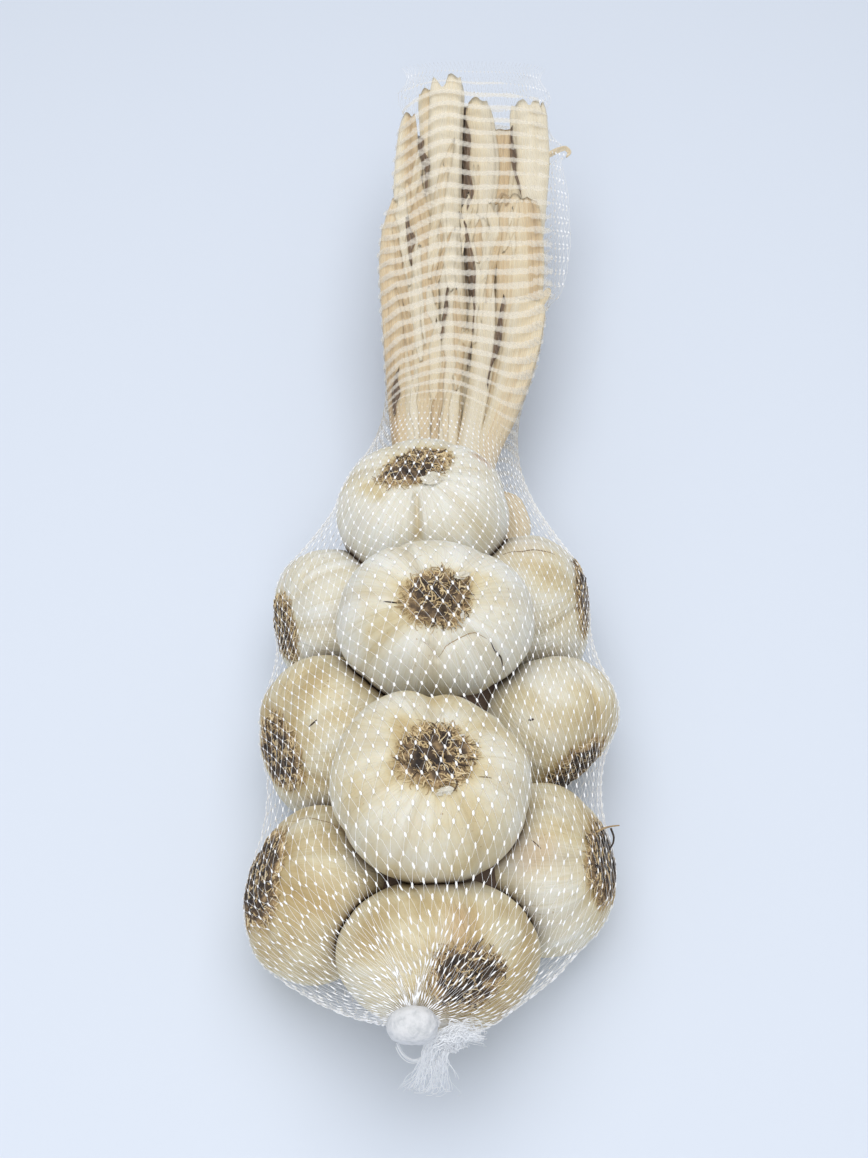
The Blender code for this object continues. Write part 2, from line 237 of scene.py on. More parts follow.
# The net: knots round the braid and rows along it, and the rows' spacing.
NET_COLUMNS, NET_ROWS = 76, 85
ROW_ON_BULBS, ROW_ON_STALKS = 4.6, 7.2
NET_TWIST = 0.15          # turns of the columns over half the braid's length
ROW_SLIDE = 2.4           # rows that the net hangs back at the left of the stalks
CLIP_SCATTER = 0.30       # rows that the knots are out of line near the clip
NET_CLEARANCE = 0.35
STRAND_RADIUS = 0.052
KNOT_HALF_SIZE = (0.85, 0.36, 0.20)   # along the net, across it, through it
KNOT_ON_STALKS = (2.1, 8.0, 0.4)      # how much larger the knots are, pulled tight
OFF_STALKS = (12.0, 20.0)             # how far off them it hangs slack
BESIDE_STALKS = (48.0, 53.0)          # place across where the net leaves them
PAST_STALKS = (214.0, 228.0)          # and place along Y
ON_STALKS = (0.0, 50.0)               # place along Y where it closes round them
STRAW_FROM, STRAW_MARGIN = (-15.0, 20.0), (9.0, 4.0)   # where it shows the straw, and how much further off
KNOT_AT_CLIP = (1.5, 0.6)             # and how much longer and narrower near the clip
KNOT_ROOM = (0.48, 0.95)              # widest half knot over the room between two columns, and on stalks
CLIP_PLACE = (-6.2, -229.4, 56.7)
CLIP_HALF_SIZE = (7.7, 5.5, 5.6)
GATHER_PLACE, GATHER_RADIUS = (-5.6, -226.0, 53.0), 2.4
CAP_CORE = (0.0, -200.0, 41.0)
CORE_LINE = [(-200.0, 0.0, 41.0), (-165.0, 0.0, 40.0), (-30.0, 0.0, 38.0), (9.0, 2.0, 31.0),
             (240.0, 19.0, 65.0)]
NET_END_Y = 239.6
OPEN_END_HALF_SIZE = (35.0, 4.0)
# Slack net: place across, height over the bundle's middle, start and stop
# along Y, half width and half thickness.
SLACK = [(53.0, -2.0, 100.0, 185.0, 8.0, 3.0), (19.0, -1.0, 185.0, 245.0, 37.0, 4.0)]
CAP_RINGS, BODY_RINGS, RING_POINTS = 36, 176, 208
# Folds where the net is bunched toward the clip: angle at the clip and further
# out, width in radians, and how much closer its columns stand.
PLEATS = [(95.0, 78.0, 0.075, 3.6), (116.0, 128.0, 0.06, 2.6), (207.0, 212.0, 0.30, 1.5),
          (335.0, 328.0, 0.28, 1.9)]
TENSION_ROUNDS = 420

# The crushed net beyond the clip: rows of place, half width, half thickness.
TAIL_ROUTE = [
    ((12.4, -227.0, 44.8), 4.0, 2.0), ((9.6, -228.0, 48.6), 6.0, 3.0),
    ((6.4, -229.4, 49.6), 5.8, 2.9), ((3.4, -230.8, 49.8), 4.6, 2.6),
    ((1.0, -232.6, 49.2), 4.2, 2.2), ((0.3, -234.4, 45.6), 4.0, 1.7),
    ((0.0, -235.8, 40.8), 4.2, 1.4), ((-0.6, -237.0, 33.4), 5.0, 1.1),
    ((-1.4, -237.8, 25.9), 6.2, 0.8),
]
TAIL_LOOP = [(-11.2, -232.2, 49.4), (-10.2, -234.2, 47.2), (-8.0, -235.3, 45.0), (-5.8, -235.4, 43.6),
             (-3.4, -234.6, 45.0), (-1.5, -233.8, 48.0)]
TAIL_STRANDS, TUFT_STRANDS, LOOP_STRANDS, TAIL_STATIONS = 300, 140, 7, 16
# Two long roots that stick out through the net, as places along them.
STRAY_ROOTS = [
    [(53.5, -159.0, 44.0), (56.2, -156.8, 42.6), (59.2, -155.0, 40.6), (61.8, -153.6, 38.4)],
    [(58.6, -156.0, 41.0), (59.6, -158.6, 40.0), (59.2, -160.8, 39.6), (58.0, -162.8, 39.8)],
]


# ---------------------------------------------------------------- small tools
def unit(v):
    v = np.asarray(v, float)
    return v / np.maximum(np.linalg.norm(v, axis=-1, keepdims=True), 1e-12)


def smooth(x, low, high):
    t = np.clip((x - low) / (high - low), 0.0, 1.0)
    return t * t * (3.0 - 2.0 * t)


def ripples(places, seed, waves, low, high):
    """Smooth seeded bumps between about -1 and 1 over directions or places."""
    rng = np.random.default_rng(seed)
    total = np.zeros(places.shape[:-1])
    for _ in range(waves):
        wave = unit(rng.normal(size=3)) * rng.uniform(low, high)
        total += np.sin(places @ wave + rng.uniform(0, 2 * math.pi))
    return total / math.sqrt(waves)


def add_attribute(mesh, name, values):
    """A number or a vector for every vertex."""
    values = np.asarray(values, np.float32)
    kind, key = ("FLOAT", "value") if values.ndim == 1 else ("FLOAT_VECTOR", "vector")
    mesh.attributes.new(name, kind, "POINT").data.foreach_set(key, values.ravel())


def vertex_array(mesh):
    flat = np.zeros(len(mesh.vertices) * 3)
    mesh.vertices.foreach_get("co", flat)
    return flat.reshape(-1, 3)


def set_vertices(mesh, points):
    mesh.vertices.foreach_set("co", (points * MM).astype(np.float32).ravel())
    mesh.update()


def new_sphere(name, segments, rings):
    bpy.ops.object.select_all(action="DESELECT")
    bpy.ops.mesh.primitive_uv_sphere_add(segments=segments, ring_count=rings, radius=1.0, location=(0, 0, 0))
    piece = bpy.context.object
    piece.name = piece.data.name = name
    return piece


def finish_piece(piece, material, node_name):
    """Smooth, finish, and hang a piece on the one body in place of its CAD node."""
    piece.data.materials.append(material)
    piece.data.shade_smooth()
    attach(piece, "root")
    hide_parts(node_name)
    return piece


def new_piece(name, points, faces):
    mesh = bpy.data.meshes.new(name)
    mesh.from_pydata((np.asarray(points) * MM).tolist(), [], faces)
    mesh.update()
    piece = bpy.data.objects.new(name, mesh)
    bpy.context.scene.collection.objects.link(piece)
    return piece


def tube_faces(count, stations, sides):
    """Faces of many closed tubes whose points are ordered by tube, station and side."""
    station = np.arange(stations - 1)[:, None] * sides
    side = np.arange(sides)[None, :]
    after = (side + 1) % sides
    quads = np.stack(
        [station + side, station + sides + side, station + sides + after, station + after], axis=-1
    ).reshape(-1, 4)
    starts = np.arange(count)[:, None, None] * stations * sides
    faces = (starts + quads[None]).reshape(-1, 4).tolist()
    first = (starts[:, 0] + np.arange(sides)[None]).tolist()
    last = (starts[:, 0] + (stations - 1) * sides + np.arange(sides)[None, ::-1]).tolist()
    return faces + first + last


def tube_points(paths, radii, sides, upward):
    """Points round each path: paths are (tube, station, 3), radii match them, and
    upward is each station's outward way."""
    along = unit(np.gradient(paths, axis=1))
    across = unit(np.cross(along, upward))
    outward = np.cross(across, along)
    turn = np.arange(sides) * 2 * math.pi / sides
    ring = (np.cos(turn)[:, None] * across[:, :, None] + np.sin(turn)[:, None] * outward[:, :, None])
    return (paths[:, :, None] + radii[:, :, None, None] * ring).reshape(-1, 3)


# ---------------------------------------------------------------- bulbs
class Bulb:
    """One garlic bulb: its place, and how far its skin lies along a direction."""

    def __init__(self, name, place, radius, oval, root_way, zero, grooves, tone, crust, seed):
        self.name, self.radius, self.tone, self.crust, self.seed = name, radius, tone, crust, seed
        self.place, self.oval = np.array(place), oval
        self.axis = unit(root_way)
        zero = np.array(zero)
        self.side = unit(zero - self.axis * (zero @ self.axis))
        self.other = np.cross(self.axis, self.side)
        self.grooves = sorted((math.radians(a % 360), depth) for a, depth in grooves)
        self.marks = [(kind, strength, width, self.line_of(places))
                      for kind, strength, width, places in MARKS.get(name, [])]
        self.crust_turn, self.crust_aside, self.crust_back = CRUST_TURN.get(name, (0.0, 0.0, 0.0))

    def line_of(self, places):
        """Directions from (turn, angle from the root end) in degrees."""
        turn, lean = np.radians(np.array(places, float)).T[:, :, None]
        around = np.cos(turn) * self.side + np.sin(turn) * self.other
        return np.cos(lean) * self.axis + np.sin(lean) * around

    def marked(self, ways, kind):
        """Strength of one kind of mark at each direction."""
        total = np.zeros(ways.shape[:-1])
        for name, strength, width, line in self.marks:
            if name == kind:
                near = np.full(total.shape, 9.0)
                for start, stop in zip(line, line[1:] if len(line) > 1 else line):
                    run = stop - start
                    share = np.clip((ways - start) @ run / max(run @ run, 1e-9), 0.0, 1.0)
                    away = ways - start - share[..., None] * run
                    near = np.minimum(near, np.linalg.norm(away, axis=-1))
                total += strength * np.exp(-((near * self.radius / width) ** 2))
        return total

    def splits(self):
        """Each thin split as its tone, half width, and places along it on the skin."""
        for kind, tone, width, line in self.marks:
            if kind == "split":
                share = np.linspace(0, 1, SPLIT_STATIONS)
                at = np.linspace(0, 1, len(line))
                ways = unit(np.stack([np.interp(share, at, line[:, i]) for i in range(3)], axis=-1))
                ways = unit(ways + 0.012 * ripples(ways, self.seed + 40, 5, 10.0, 30.0)[:, None] * self.other)
                yield tone, width, self.place + ways * self.reach(ways)[:, None]

    def polar(self, directions):
        """Angle from the root end, and turn round the root axis."""
        along = np.clip(directions @ self.axis, -1.0, 1.0)
        turn = np.arctan2(directions @ self.other, directions @ self.side)
        return np.arccos(along), np.mod(turn, 2 * math.pi)

    def clove_form(self, turn):
        """0 in the grooves to 1 on the back of each clove, and the grooves' own depth."""
        angles = [a for a, _ in self.grooves]
        edges = np.array(angles + [angles[0] + 2 * math.pi])
        wrapped = np.where(turn < edges[0], turn + 2 * math.pi, turn)
        index = np.clip(np.searchsorted(edges, wrapped, side="right") - 1, 0, len(angles) - 1)
        way = (wrapped - edges[index]) / (edges[index + 1] - edges[index])
        back = np.clip(4 * way * (1 - way), 0.0, 1.0) ** 0.7
        cut = np.zeros_like(turn)
        for angle, depth in self.grooves:
            away = np.abs(np.mod(turn - angle + math.pi, 2 * math.pi) - math.pi)
            cut += depth * np.exp(-((away / GROOVE_WIDTH) ** 2))
        return back, cut

    def reach(self, directions):
        """Distance from the bulb's middle to its skin."""
        lean, turn = self.polar(directions)
        turn = turn + 0.06 * ripples(directions, self.seed + 3, 5, 2.0, 5.0)
        wide = np.hypot(directions @ self.side, directions @ self.other / self.oval)
        tall = np.abs(np.cos(lean)) / BULB_FLATNESS
        form = (wide**BULB_FULLNESS + tall**BULB_FULLNESS) ** (-1.0 / BULB_FULLNESS)
        back, cut = self.clove_form(np.mod(turn, 2 * math.pi))
        shoulder = smooth(lean, 0.25, 0.75) * (1.0 - smooth(lean, 2.3, 2.9))
        shoulder *= 1.0 - 0.6 * smooth(lean, 1.25, 2.0)
        distance = self.radius * form * (1.0 - CLOVE_BULGE * (1.0 - back) * shoulder)
        distance -= cut * shoulder + self.marked(directions, "dent")
        distance += 0.6 * ripples(directions, self.seed, 6, 2.5, 5.5)
        distance += 0.13 * ripples(directions, self.seed + 7, 8, 9.0, 18.0) * shoulder
        distance -= ROOT_PIT * np.exp(-((lean / 0.40) ** 2))
        distance += 12.0 * np.exp(-(((math.pi - lean) / 0.20) ** 2))
        return distance

    def off_crust(self, ways):
        """About how far outside the root crust's rim each direction lies, in mm."""
        ahead = ways @ self.axis
        spread = self.radius * BULB_FLATNESS / np.maximum(ahead, 0.05)
        sideways = (ways @ self.side) * spread - self.crust_aside
        across = (ways @ self.other) * spread - self.crust_back
        tilt = math.radians(self.crust_turn)
        share = np.hypot((sideways * math.cos(tilt) + across * math.sin(tilt)) / self.crust[0],
                         (across * math.cos(tilt) - sideways * math.sin(tilt)) / self.crust[1])
        return np.where(ahead > 0.05, (share - 1.0) * 0.5 * sum(self.crust), 99.0)

    def presses(self, points):
        """True for the points that lie inside this bulb or too close to it."""
        away = points - self.place
        return np.linalg.norm(away, axis=-1) < self.reach(unit(away)) + PRESS_GAP

    def over_root(self, sideways, across, height):
        """Places over the root end, from offsets in the plane that touches it."""
        distance = self.radius * BULB_FLATNESS
        tilt = math.radians(self.crust_turn)
        sideways, across = (sideways * math.cos(tilt) - across * math.sin(tilt) + self.crust_aside,
                            sideways * math.sin(tilt) + across * math.cos(tilt) + self.crust_back)
        ways = unit(
            self.axis * distance + sideways[..., None] * self.side + across[..., None] * self.other
        )
        return self.place + ways * (self.reach(ways) + height)[..., None]


BRAID = [Bulb(*row) for row in BULBS]


def pressed_reach(bulb, ways):
    """Reach of a bulb's skin, dented where the bulbs in front press on it."""
    reach = bulb.reach(ways)
    for other in BRAID[:BRAID.index(bulb)]:
        if np.linalg.norm(other.place - bulb.place) < 1.1 * (other.radius + bulb.radius):
            hit = np.flatnonzero(other.presses(bulb.place + ways * reach[:, None]))
            while len(hit):
                reach[hit] -= 0.35
                still = other.presses(bulb.place + ways[hit] * reach[hit, None])
                hit = hit[still & (reach[hit] > 5.0)]
    return reach


def shade_where_bulbs_meet(bulb, points):
    """Painted shade where a skin meets its neighbours: 1 there, fading to 0 a little way off."""
    gap = np.full(len(points), 9.0)
    for other in BRAID:
        near = 1.1 * (other.radius + bulb.radius)
        if other is not bulb and np.linalg.norm(other.place - bulb.place) < near:
            away = points - other.place
            gap = np.minimum(gap, np.linalg.norm(away, axis=-1) - other.reach(unit(away)))
    return np.exp(-np.maximum(gap - PRESS_GAP, 0) / PAINTED_SHADE_DEPTH)


def make_bulb(bulb, material):
    piece = new_sphere("bulb_" + bulb.name, *(TOP_MESH if bulb.name.startswith("top") else SIDE_MESH))
    ball = unit(vertex_array(piece.data))
    ways = ball @ np.stack([bulb.side, bulb.other, bulb.axis])
    points = bulb.place + ways * pressed_reach(bulb, ways)[:, None]
    points[:, 2] = np.maximum(points[:, 2], FLOOR_GAP)
    set_vertices(piece.data, points)
    lean, turn = bulb.polar(ways)
    back, cut = bulb.clove_form(turn)
    waver = 0.05 * ripples(ways, bulb.seed + 3, 5, 3.0, 7.0)
    grain = [np.cos(turn + waver), np.sin(turn + waver), lean / 3.0 + bulb.seed * 1.7]
    add_attribute(piece.data, "grain", np.stack(grain, axis=-1))
    # Darker and yellower in the grooves and toward the clove edges: partly the seams' own yellow tint, partly
    # painted shade in the hollows.
    hollow = np.clip(cut / 2.2 + 0.18 * (1 - back), 0, 1)
    hollow *= smooth(lean, 0.3, 0.7) * (1 - 0.75 * smooth(lean, 1.1, 1.7))
    add_attribute(piece.data, "groove", hollow)
    blotch = ripples(ways, bulb.seed + 5, 7, 2.0, 6.0)
    small = ripples(ways, bulb.seed + 6, 9, 6.0, 14.0)
    rim = np.exp(-np.maximum(bulb.off_crust(ways), 0) / (2.6 + 0.9 * small))
    stain = 0.95 * rim + 0.20 * (blotch + 0.1) + 0.10 * small + bulb.tone
    stain += bulb.marked(ways, "straw") - bulb.marked(ways, "bare")
    add_attribute(piece.data, "stain", np.clip(stain, -0.2, 1.3))
    add_attribute(piece.data, "crack", np.clip(bulb.marked(ways, "dark"), 0, 1))
    add_attribute(piece.data, "blush", np.clip(bulb.marked(ways, "blush"), 0, 1))
    # Painted shade where this skin meets the neighbouring bulbs.
    add_attribute(piece.data, "nook", shade_where_bulbs_meet(bulb, points))
    return finish_piece(piece, material, "netted_braid")


# ---------------------------------------------------------------- roots
def crust_outline(bulb, turn):
    """Uneven outline of the root crust, as a share of its half sizes."""
    rim = np.stack([np.cos(turn), np.sin(turn), 0 * turn], axis=-1)
    broad, fine = ripples(rim, bulb.seed + 9, 5, 1.5, 4.0), ripples(rim, bulb.seed + 8, 6, 6.0, 14.0)
    return 1.0 + 0.10 * broad + 0.08 * fine


def make_crust(bulb, material):
    """The dark corky plate that the roots grow from."""
    shares = np.concatenate([np.linspace(0.03, 1.0, 18), [1.05, 0.9]])
    turn = np.arange(CRUST_SIDES) * 2 * math.pi / CRUST_SIDES
    share, around = np.meshgrid(shares, turn, indexing="ij")
    outline = crust_outline(bulb, around) * share
    sideways = bulb.crust[0] * outline * np.cos(around)
    across = bulb.crust[1] * outline * np.sin(around)
    spot = np.stack([sideways, across, 0 * across], axis=-1)
    bumps = 0.45 * ripples(spot, bulb.seed + 21, 10, 0.8, 3.2)
    height = 1.5 * (1 - np.clip(share, 0, 1) ** 4) + bumps * (1 - np.clip(share, 0, 1) ** 6) + 0.1
    height[-2:] = [[-0.6], [-1.6]]
    points = bulb.over_root(sideways, across, height).reshape(-1, 3)
    points[:, 2] = np.maximum(points[:, 2], FLOOR_GAP)
    piece = new_piece("root_crust_" + bulb.name, points, tube_faces(1, len(shares), CRUST_SIDES))
    tone = 0.14 + 0.14 * ripples(spot, bulb.seed + 22, 8, 0.5, 2.4) + 0.55 * share**5
    add_attribute(piece.data, "tone", np.clip(tone, 0, 1).ravel())
    return finish_piece(piece, material, "netted_braid")


def make_rootlets(bulb, material):
    """Short dry flat roots matted over the crust, and fine pale fibres round it."""
    rng = np.random.default_rng(bulb.seed + 100)
    count = ROOTLETS + ROOT_FRINGE
    fringe = np.arange(count) >= ROOTLETS
    share = np.where(fringe, rng.uniform(0.82, 1.10, count), np.sqrt(rng.uniform(0, 1, count)))
    turn = rng.uniform(0, 2 * math.pi, count)
    outline = crust_outline(bulb, turn) * share
    spot = np.stack([bulb.crust[0] * outline * np.cos(turn), bulb.crust[1] * outline * np.sin(turn)], -1)
    comb = 0.6 + 1.1 * ripples(np.stack([spot[:, 0], spot[:, 1], 0 * turn], -1), bulb.seed + 31, 4, 0.15, 0.4)
    heading = np.where(fringe, turn, comb) + rng.normal(0, 1, count) * np.where(fringe, 0.75, 0.8)
    curl = rng.normal(0, 1, count) * np.where(fringe, 0.20, 0.26)
    step = rng.uniform(0.40, 1.05, count) * np.where(fringe, 0.55, 1.0 - 0.35 * share)
    rise = rng.uniform(0.02, 0.9, count) * np.where(fringe, 0.10, 1.15 - 0.85 * share)
    places = []
    for k in range(ROOTLET_STEPS):
        way = k / (ROOTLET_STEPS - 1)
        height = 0.9 * np.clip(1 - share**3, 0, 1) + 0.2 + rise * math.sin(math.pi * (0.15 + 0.75 * way))
        places.append(bulb.over_root(spot[:, 0], spot[:, 1], height))
        spot = spot + step[:, None] * np.stack([np.cos(heading), np.sin(heading)], -1)
        heading = heading + curl + rng.normal(0, 0.25, count)
    paths = np.stack(places, axis=1)
    thick = np.where(fringe, rng.uniform(0.08, 0.18, count), rng.uniform(0.13, 0.40, count))
    taper = np.linspace(1.0, 0.55, ROOTLET_STEPS)
    upward = np.broadcast_to(unit(bulb.axis + 0.2 * bulb.side), paths.shape)
    points = tube_points(paths, thick[:, None] * taper, 4, upward)
    points[:, 2] = np.maximum(points[:, 2], FLOOR_GAP)
    piece = new_piece("roots_" + bulb.name, points, tube_faces(count, ROOTLET_STEPS, 4))
    lighter = 0.14 if bulb.name.startswith("left") else 0.03
    tone = rng.beta(0.8, 0.75, count) * 0.92 + 0.5 * np.clip(share - 0.6, 0, 1) + lighter
    tone = np.clip(np.where(fringe, rng.uniform(0.45, 1.0, count), tone), 0, 1.1)
    add_attribute(piece.data, "tone", np.repeat(tone, ROOTLET_STEPS * 4))
    return finish_piece(piece, material, "netted_braid")


def make_flake(number, bulb, turn, lean, long, wide, spin, material):
    """A loose bit of papery skin that lies on the bulb with its edge up."""
    piece = new_sphere("skin_flake_%d" % number, *FLAKE_MESH)
    ball = vertex_array(piece.data)
    way = bulb.line_of([(turn, lean)])[0]
    spin = math.radians(spin)
    first = unit(np.cross(bulb.other, way)) * math.cos(spin) + unit(np.cross(way, bulb.side)) * math.sin(spin)
    second = np.cross(way, first)
    edge = unit(ball * [1, 1, 0])
    broad, fine = ripples(edge, 500 + number, 6, 2.0, 5.0), ripples(edge, 520 + number, 6, 8.0, 18.0)
    rim = 1.0 + 0.22 * broad + 0.13 * fine
    lie = ball[:, 0] * long * rim, ball[:, 1] * wide * rim
    crumple = ripples(ball * [1, 1, 0], 540 + number, 6, 2.0, 6.0)
    height = 0.75 + 0.10 * ball[:, 2] + 0.45 * crumple + 0.4 * ball[:, 0] ** 2
    foot = bulb.place + way * bulb.reach(way[None])
    points = foot + lie[0][:, None] * first + lie[1][:, None] * second + height[:, None] * way
    set_vertices(piece.data, points)
    add_attribute(piece.data, "grain", points / 9.0)
    for name, value in (("groove", 0.0), ("stain", 0.15), ("crack", 0.0), ("blush", 0.1), ("nook", 0.0)):
        add_attribute(piece.data, name, np.full(len(points), value))
    return finish_piece(piece, material, "netted_braid")


# ---------------------------------------------------------------- stalks
def make_stalk(number, rows, seed, brown, material):
    """One flattened dry leaf stalk, ridged along its length and torn hollow at its end."""
    rows = np.array(rows, float)[::-1]
    near, far = rows[0, 0], rows[-1, 0]
    y = near + (far - near) * np.linspace(0, 1, STALK_STATIONS)
    middle, level, width, thick = (smooth_rows(y, rows[:, 0], rows[:, i]) for i in range(1, 5))
    turn = np.arange(STALK_SIDES) * 2 * math.pi / STALK_SIDES
    station, around = np.meshgrid(y, turn, indexing="ij")
    rim = np.stack([2.2 * np.cos(around), 2.2 * np.sin(around), station / 55.0], axis=-1)
    fine = np.stack([7.0 * np.cos(around), 7.0 * np.sin(around), station / 40.0], axis=-1)
    swell = 1.0 + 0.13 * ripples(rim, seed, 6, 0.6, 1.9) + 0.045 * ripples(fine, seed + 1, 8, 0.7, 1.8)
    squash = np.sign(np.sin(around)) * np.abs(np.sin(around)) ** 0.85
    squash *= 0.92 + 0.14 * np.cos(3 * around + 1.7 * np.sin(station / 31.0 + seed))
    lean = 0.10 * ripples(rim[:, :1] * [1, 0, 1], seed + 2, 3, 0.8, 1.8)
    narrowed = 1.0 - 0.12 * smooth(station, far - 9.0, far) ** 2
    across = 0.5 * width[:, None] * np.cos(around) * swell * narrowed
    upward = 0.5 * thick[:, None] * squash * swell + lean * across
    sway = 0.7 * ripples(rim[:, :1] * [0, 0, 1], seed + 3, 3, 0.8, 2.0)
    edge = np.stack([np.cos(around), np.sin(around), 0 * around], -1)
    torn = STALK_TEAR * ripples(edge, seed + 4, 6, 2.0, 9.0) + STALK_ROUNDING * (np.abs(np.sin(around)) - 0.8)
    torn -= STALK_SPLIT * np.clip(ripples(edge, seed + 6, 4, 3.0, 8.0) - 0.8, 0, 1)
    along = station + torn * smooth(station, far - 20.0, far)
    points = np.stack(
        [middle[:, None] + across + sway,
         along,
         bundle_height(along) + level[:, None] + upward], axis=-1)
    hollow_end, mouth = [], points[-1]
    centre = mouth.mean(axis=0)
    for depth, share in ((0.4, 0.90), (3.0, 0.80), (STALK_HOLLOW, 0.35)):
        ring = centre + (mouth - centre) * share
        ring[:, 1] -= depth
        ring[:, 2] -= STALK_RISE * depth
        hollow_end.append(ring)
    points = np.concatenate([points, np.stack(hollow_end)])
    stations = len(points)
    piece = new_piece("stalk_%d" % number, points.reshape(-1, 3),
                      tube_faces(1, stations, STALK_SIDES))
    grain = np.stack([np.cos(around) * 1.6, np.sin(around) * 1.6, station / 90.0 + seed], axis=-1)
    grain = np.concatenate([grain, np.repeat(grain[-1:], 3, axis=0)])
    add_attribute(piece.data, "grain", grain.reshape(-1, 3))
    dark = np.clip(brown + 0.25 * ripples(rim, seed + 5, 5, 0.5, 1.8), 0, 1)
    dark = np.concatenate([dark, np.repeat(dark[-1:], 3, axis=0)])
    # Painted shade: darker the deeper into the hollow cut end.
    dark[-3:] += np.array([0.2, 0.6, 1.0])[:, None]
    add_attribute(piece.data, "tone", np.clip(dark, 0, 1.5).ravel())
    return finish_piece(piece, material, "netted_braid")


def make_strip(name, rows, brown, material):
    """A thin dry strip that lies along a bent line."""
    line = eased_line([[*place, wide, thick] for place, wide, thick in rows], STRIP_STATIONS)
    forward = unit(np.gradient(line[:, :3], axis=0))
    across = unit(np.cross(forward, (0.0, -0.5, 0.8)))
    out = np.cross(across, forward)
    share = np.linspace(0, 1, STRIP_STATIONS)
    turn = np.arange(STRIP_SIDES) * 2 * math.pi / STRIP_SIDES
    along, around = np.meshgrid(share, turn, indexing="ij")
    wrinkle = 1.0 + 0.16 * np.sin(5 * around + 9 * along) + 0.10 * np.sin(37 * along + 3 * around)
    ends = np.clip(np.sin(math.pi * np.clip(share, 0.02, 0.98)), 0, 1) ** 0.35
    points = (line[:, None, :3]
              + (line[:, 3] * ends)[:, None, None] * np.cos(around)[..., None] * across[:, None]
              + (line[:, 4, None] * np.sin(around) * wrinkle)[..., None] * out[:, None])
    points += (0.6 * line[:, 4, None] * np.sin(4 * np.cos(around) + 5 * along))[..., None] * out[:, None]
    piece = new_piece(name, points.reshape(-1, 3), tube_faces(1, STRIP_STATIONS, STRIP_SIDES))
    grain = np.stack([np.cos(around) * 1.3, np.sin(around), along * 0.8 + len(name)], axis=-1)
    add_attribute(piece.data, "grain", grain.reshape(-1, 3))
    add_attribute(piece.data, "tone", np.full(STRIP_STATIONS * STRIP_SIDES, brown))
    return finish_piece(piece, material, "netted_braid")


def make_shreds(tree, material):
    """Loose dry leaf shreds that lie along the stalks, bridging their hollows, and
    dark strips painted as the shadow in the folds between the leaves."""
    rng = np.random.default_rng(64)
    t, lane = np.linspace(0, 1, SHRED_STATIONS), np.linspace(-1, 1, SHRED_LANES)
    rows, strips = np.array(SHRED_SPREAD), []
    for _ in range(SHREDS):
        y = rng.uniform(12, 150) + rng.uniform(22, 58) * t
        side = rng.uniform(-0.92, 0.92) + rng.normal(0, 0.10) * t
        x = np.interp(y, rows[:, 0], rows[:, 1]) + side * np.interp(y, rows[:, 0], rows[:, 2])
        x += rng.uniform(0.2, 0.9) * np.sin(rng.uniform(3, 8) * t + rng.uniform(0, 6))
        wide = rng.uniform(0.7, 2.6) * (1 + 0.15 * np.sin(rng.uniform(9, 20) * t))
        strips.append((x, y, wide, 0.30, rng.choice([0.0, 0.1, 0.25, 0.45])))
    for fold in FOLD_SHADOW_STRIPS:
        x, y, wide = (np.interp(t, np.linspace(0, 1, len(fold)), column) for column in np.array(fold).T)
        waver = np.sin(rng.uniform(9, 20) * t + rng.uniform(0, 6))
        # Near black strips as painted shadow where the leaves part.
        strips.append((x + 0.3 * waver, y, wide * (1 + 0.3 * waver), 0.75, 0.85))
    points, grain, tones = [], [], []
    for number, (x, y, wide, lift, tone) in enumerate(strips):
        wide = wide * np.clip(np.sin(math.pi * np.clip(t, 0.03, 0.985)), 0, 1) ** 0.45
        across = x[:, None] + wide[:, None] * lane
        along = y[:, None] + rng.normal(0, 1.2, SHRED_LANES) * (2 * t[:, None] - 1) ** 4
        height = bundle_height(along) - 3.0
        for spot in np.ndindex(height.shape):
            hit = tree.ray_cast(Vector((across[spot], along[spot], 130.0)) * MM, Vector((0, 0, -1)))
            if hit[0] is not None and hit[0].z / MM > height[spot]:
                height[spot] = hit[0].z / MM
        for _ in range(14):
            height[1:-1] = np.maximum(height[1:-1], 0.5 * (height[:-2] + height[2:]))
            height[:, 1:-1] = np.maximum(height[:, 1:-1], 0.5 * (height[:, :-2] + height[:, 2:]))
        lift = lift + rng.uniform(0, 0.5) * lane**2 + rng.uniform(0, 0.8) * t[:, None] ** 6
        over = np.stack([across, along, height + lift], axis=-1)[:, ::-1]
        under = over[:, ::-1] - [0, 0, 0.28]
        points.append(np.concatenate([over, under], axis=1))
        around = np.concatenate([lane[::-1], lane]) * wide.max() / 5.0
        grain.append(np.stack(np.broadcast_arrays(around, 0.3 * around, y[:, None] / 90.0 + number), -1))
        tones.append(tone)
    sides = 2 * SHRED_LANES
    piece = new_piece("leaf_shreds", np.array(points).reshape(-1, 3),
                      tube_faces(len(strips), SHRED_STATIONS, sides))
    add_attribute(piece.data, "grain", np.array(grain).reshape(-1, 3))
    add_attribute(piece.data, "tone", np.repeat(tones, SHRED_STATIONS * sides))
    return finish_piece(piece, material, "netted_braid")


def make_stray_roots(material):
    """Two long dry roots that stick out through the net."""
    stations, sides = 24, 6
    paths = np.array([eased_line(line, stations) for line in STRAY_ROOTS])
    radii = np.broadcast_to(np.linspace(0.40, 0.26, stations), paths.shape[:2])
    points = tube_points(paths, radii, sides, np.broadcast_to((0.2, 0, 1.0), paths.shape))
    piece = new_piece("stray_roots", points, tube_faces(len(paths), stations, sides))
    add_attribute(piece.data, "tone", np.repeat((0.55, 0.08), stations * sides))
    return finish_piece(piece, material, "netted_braid")


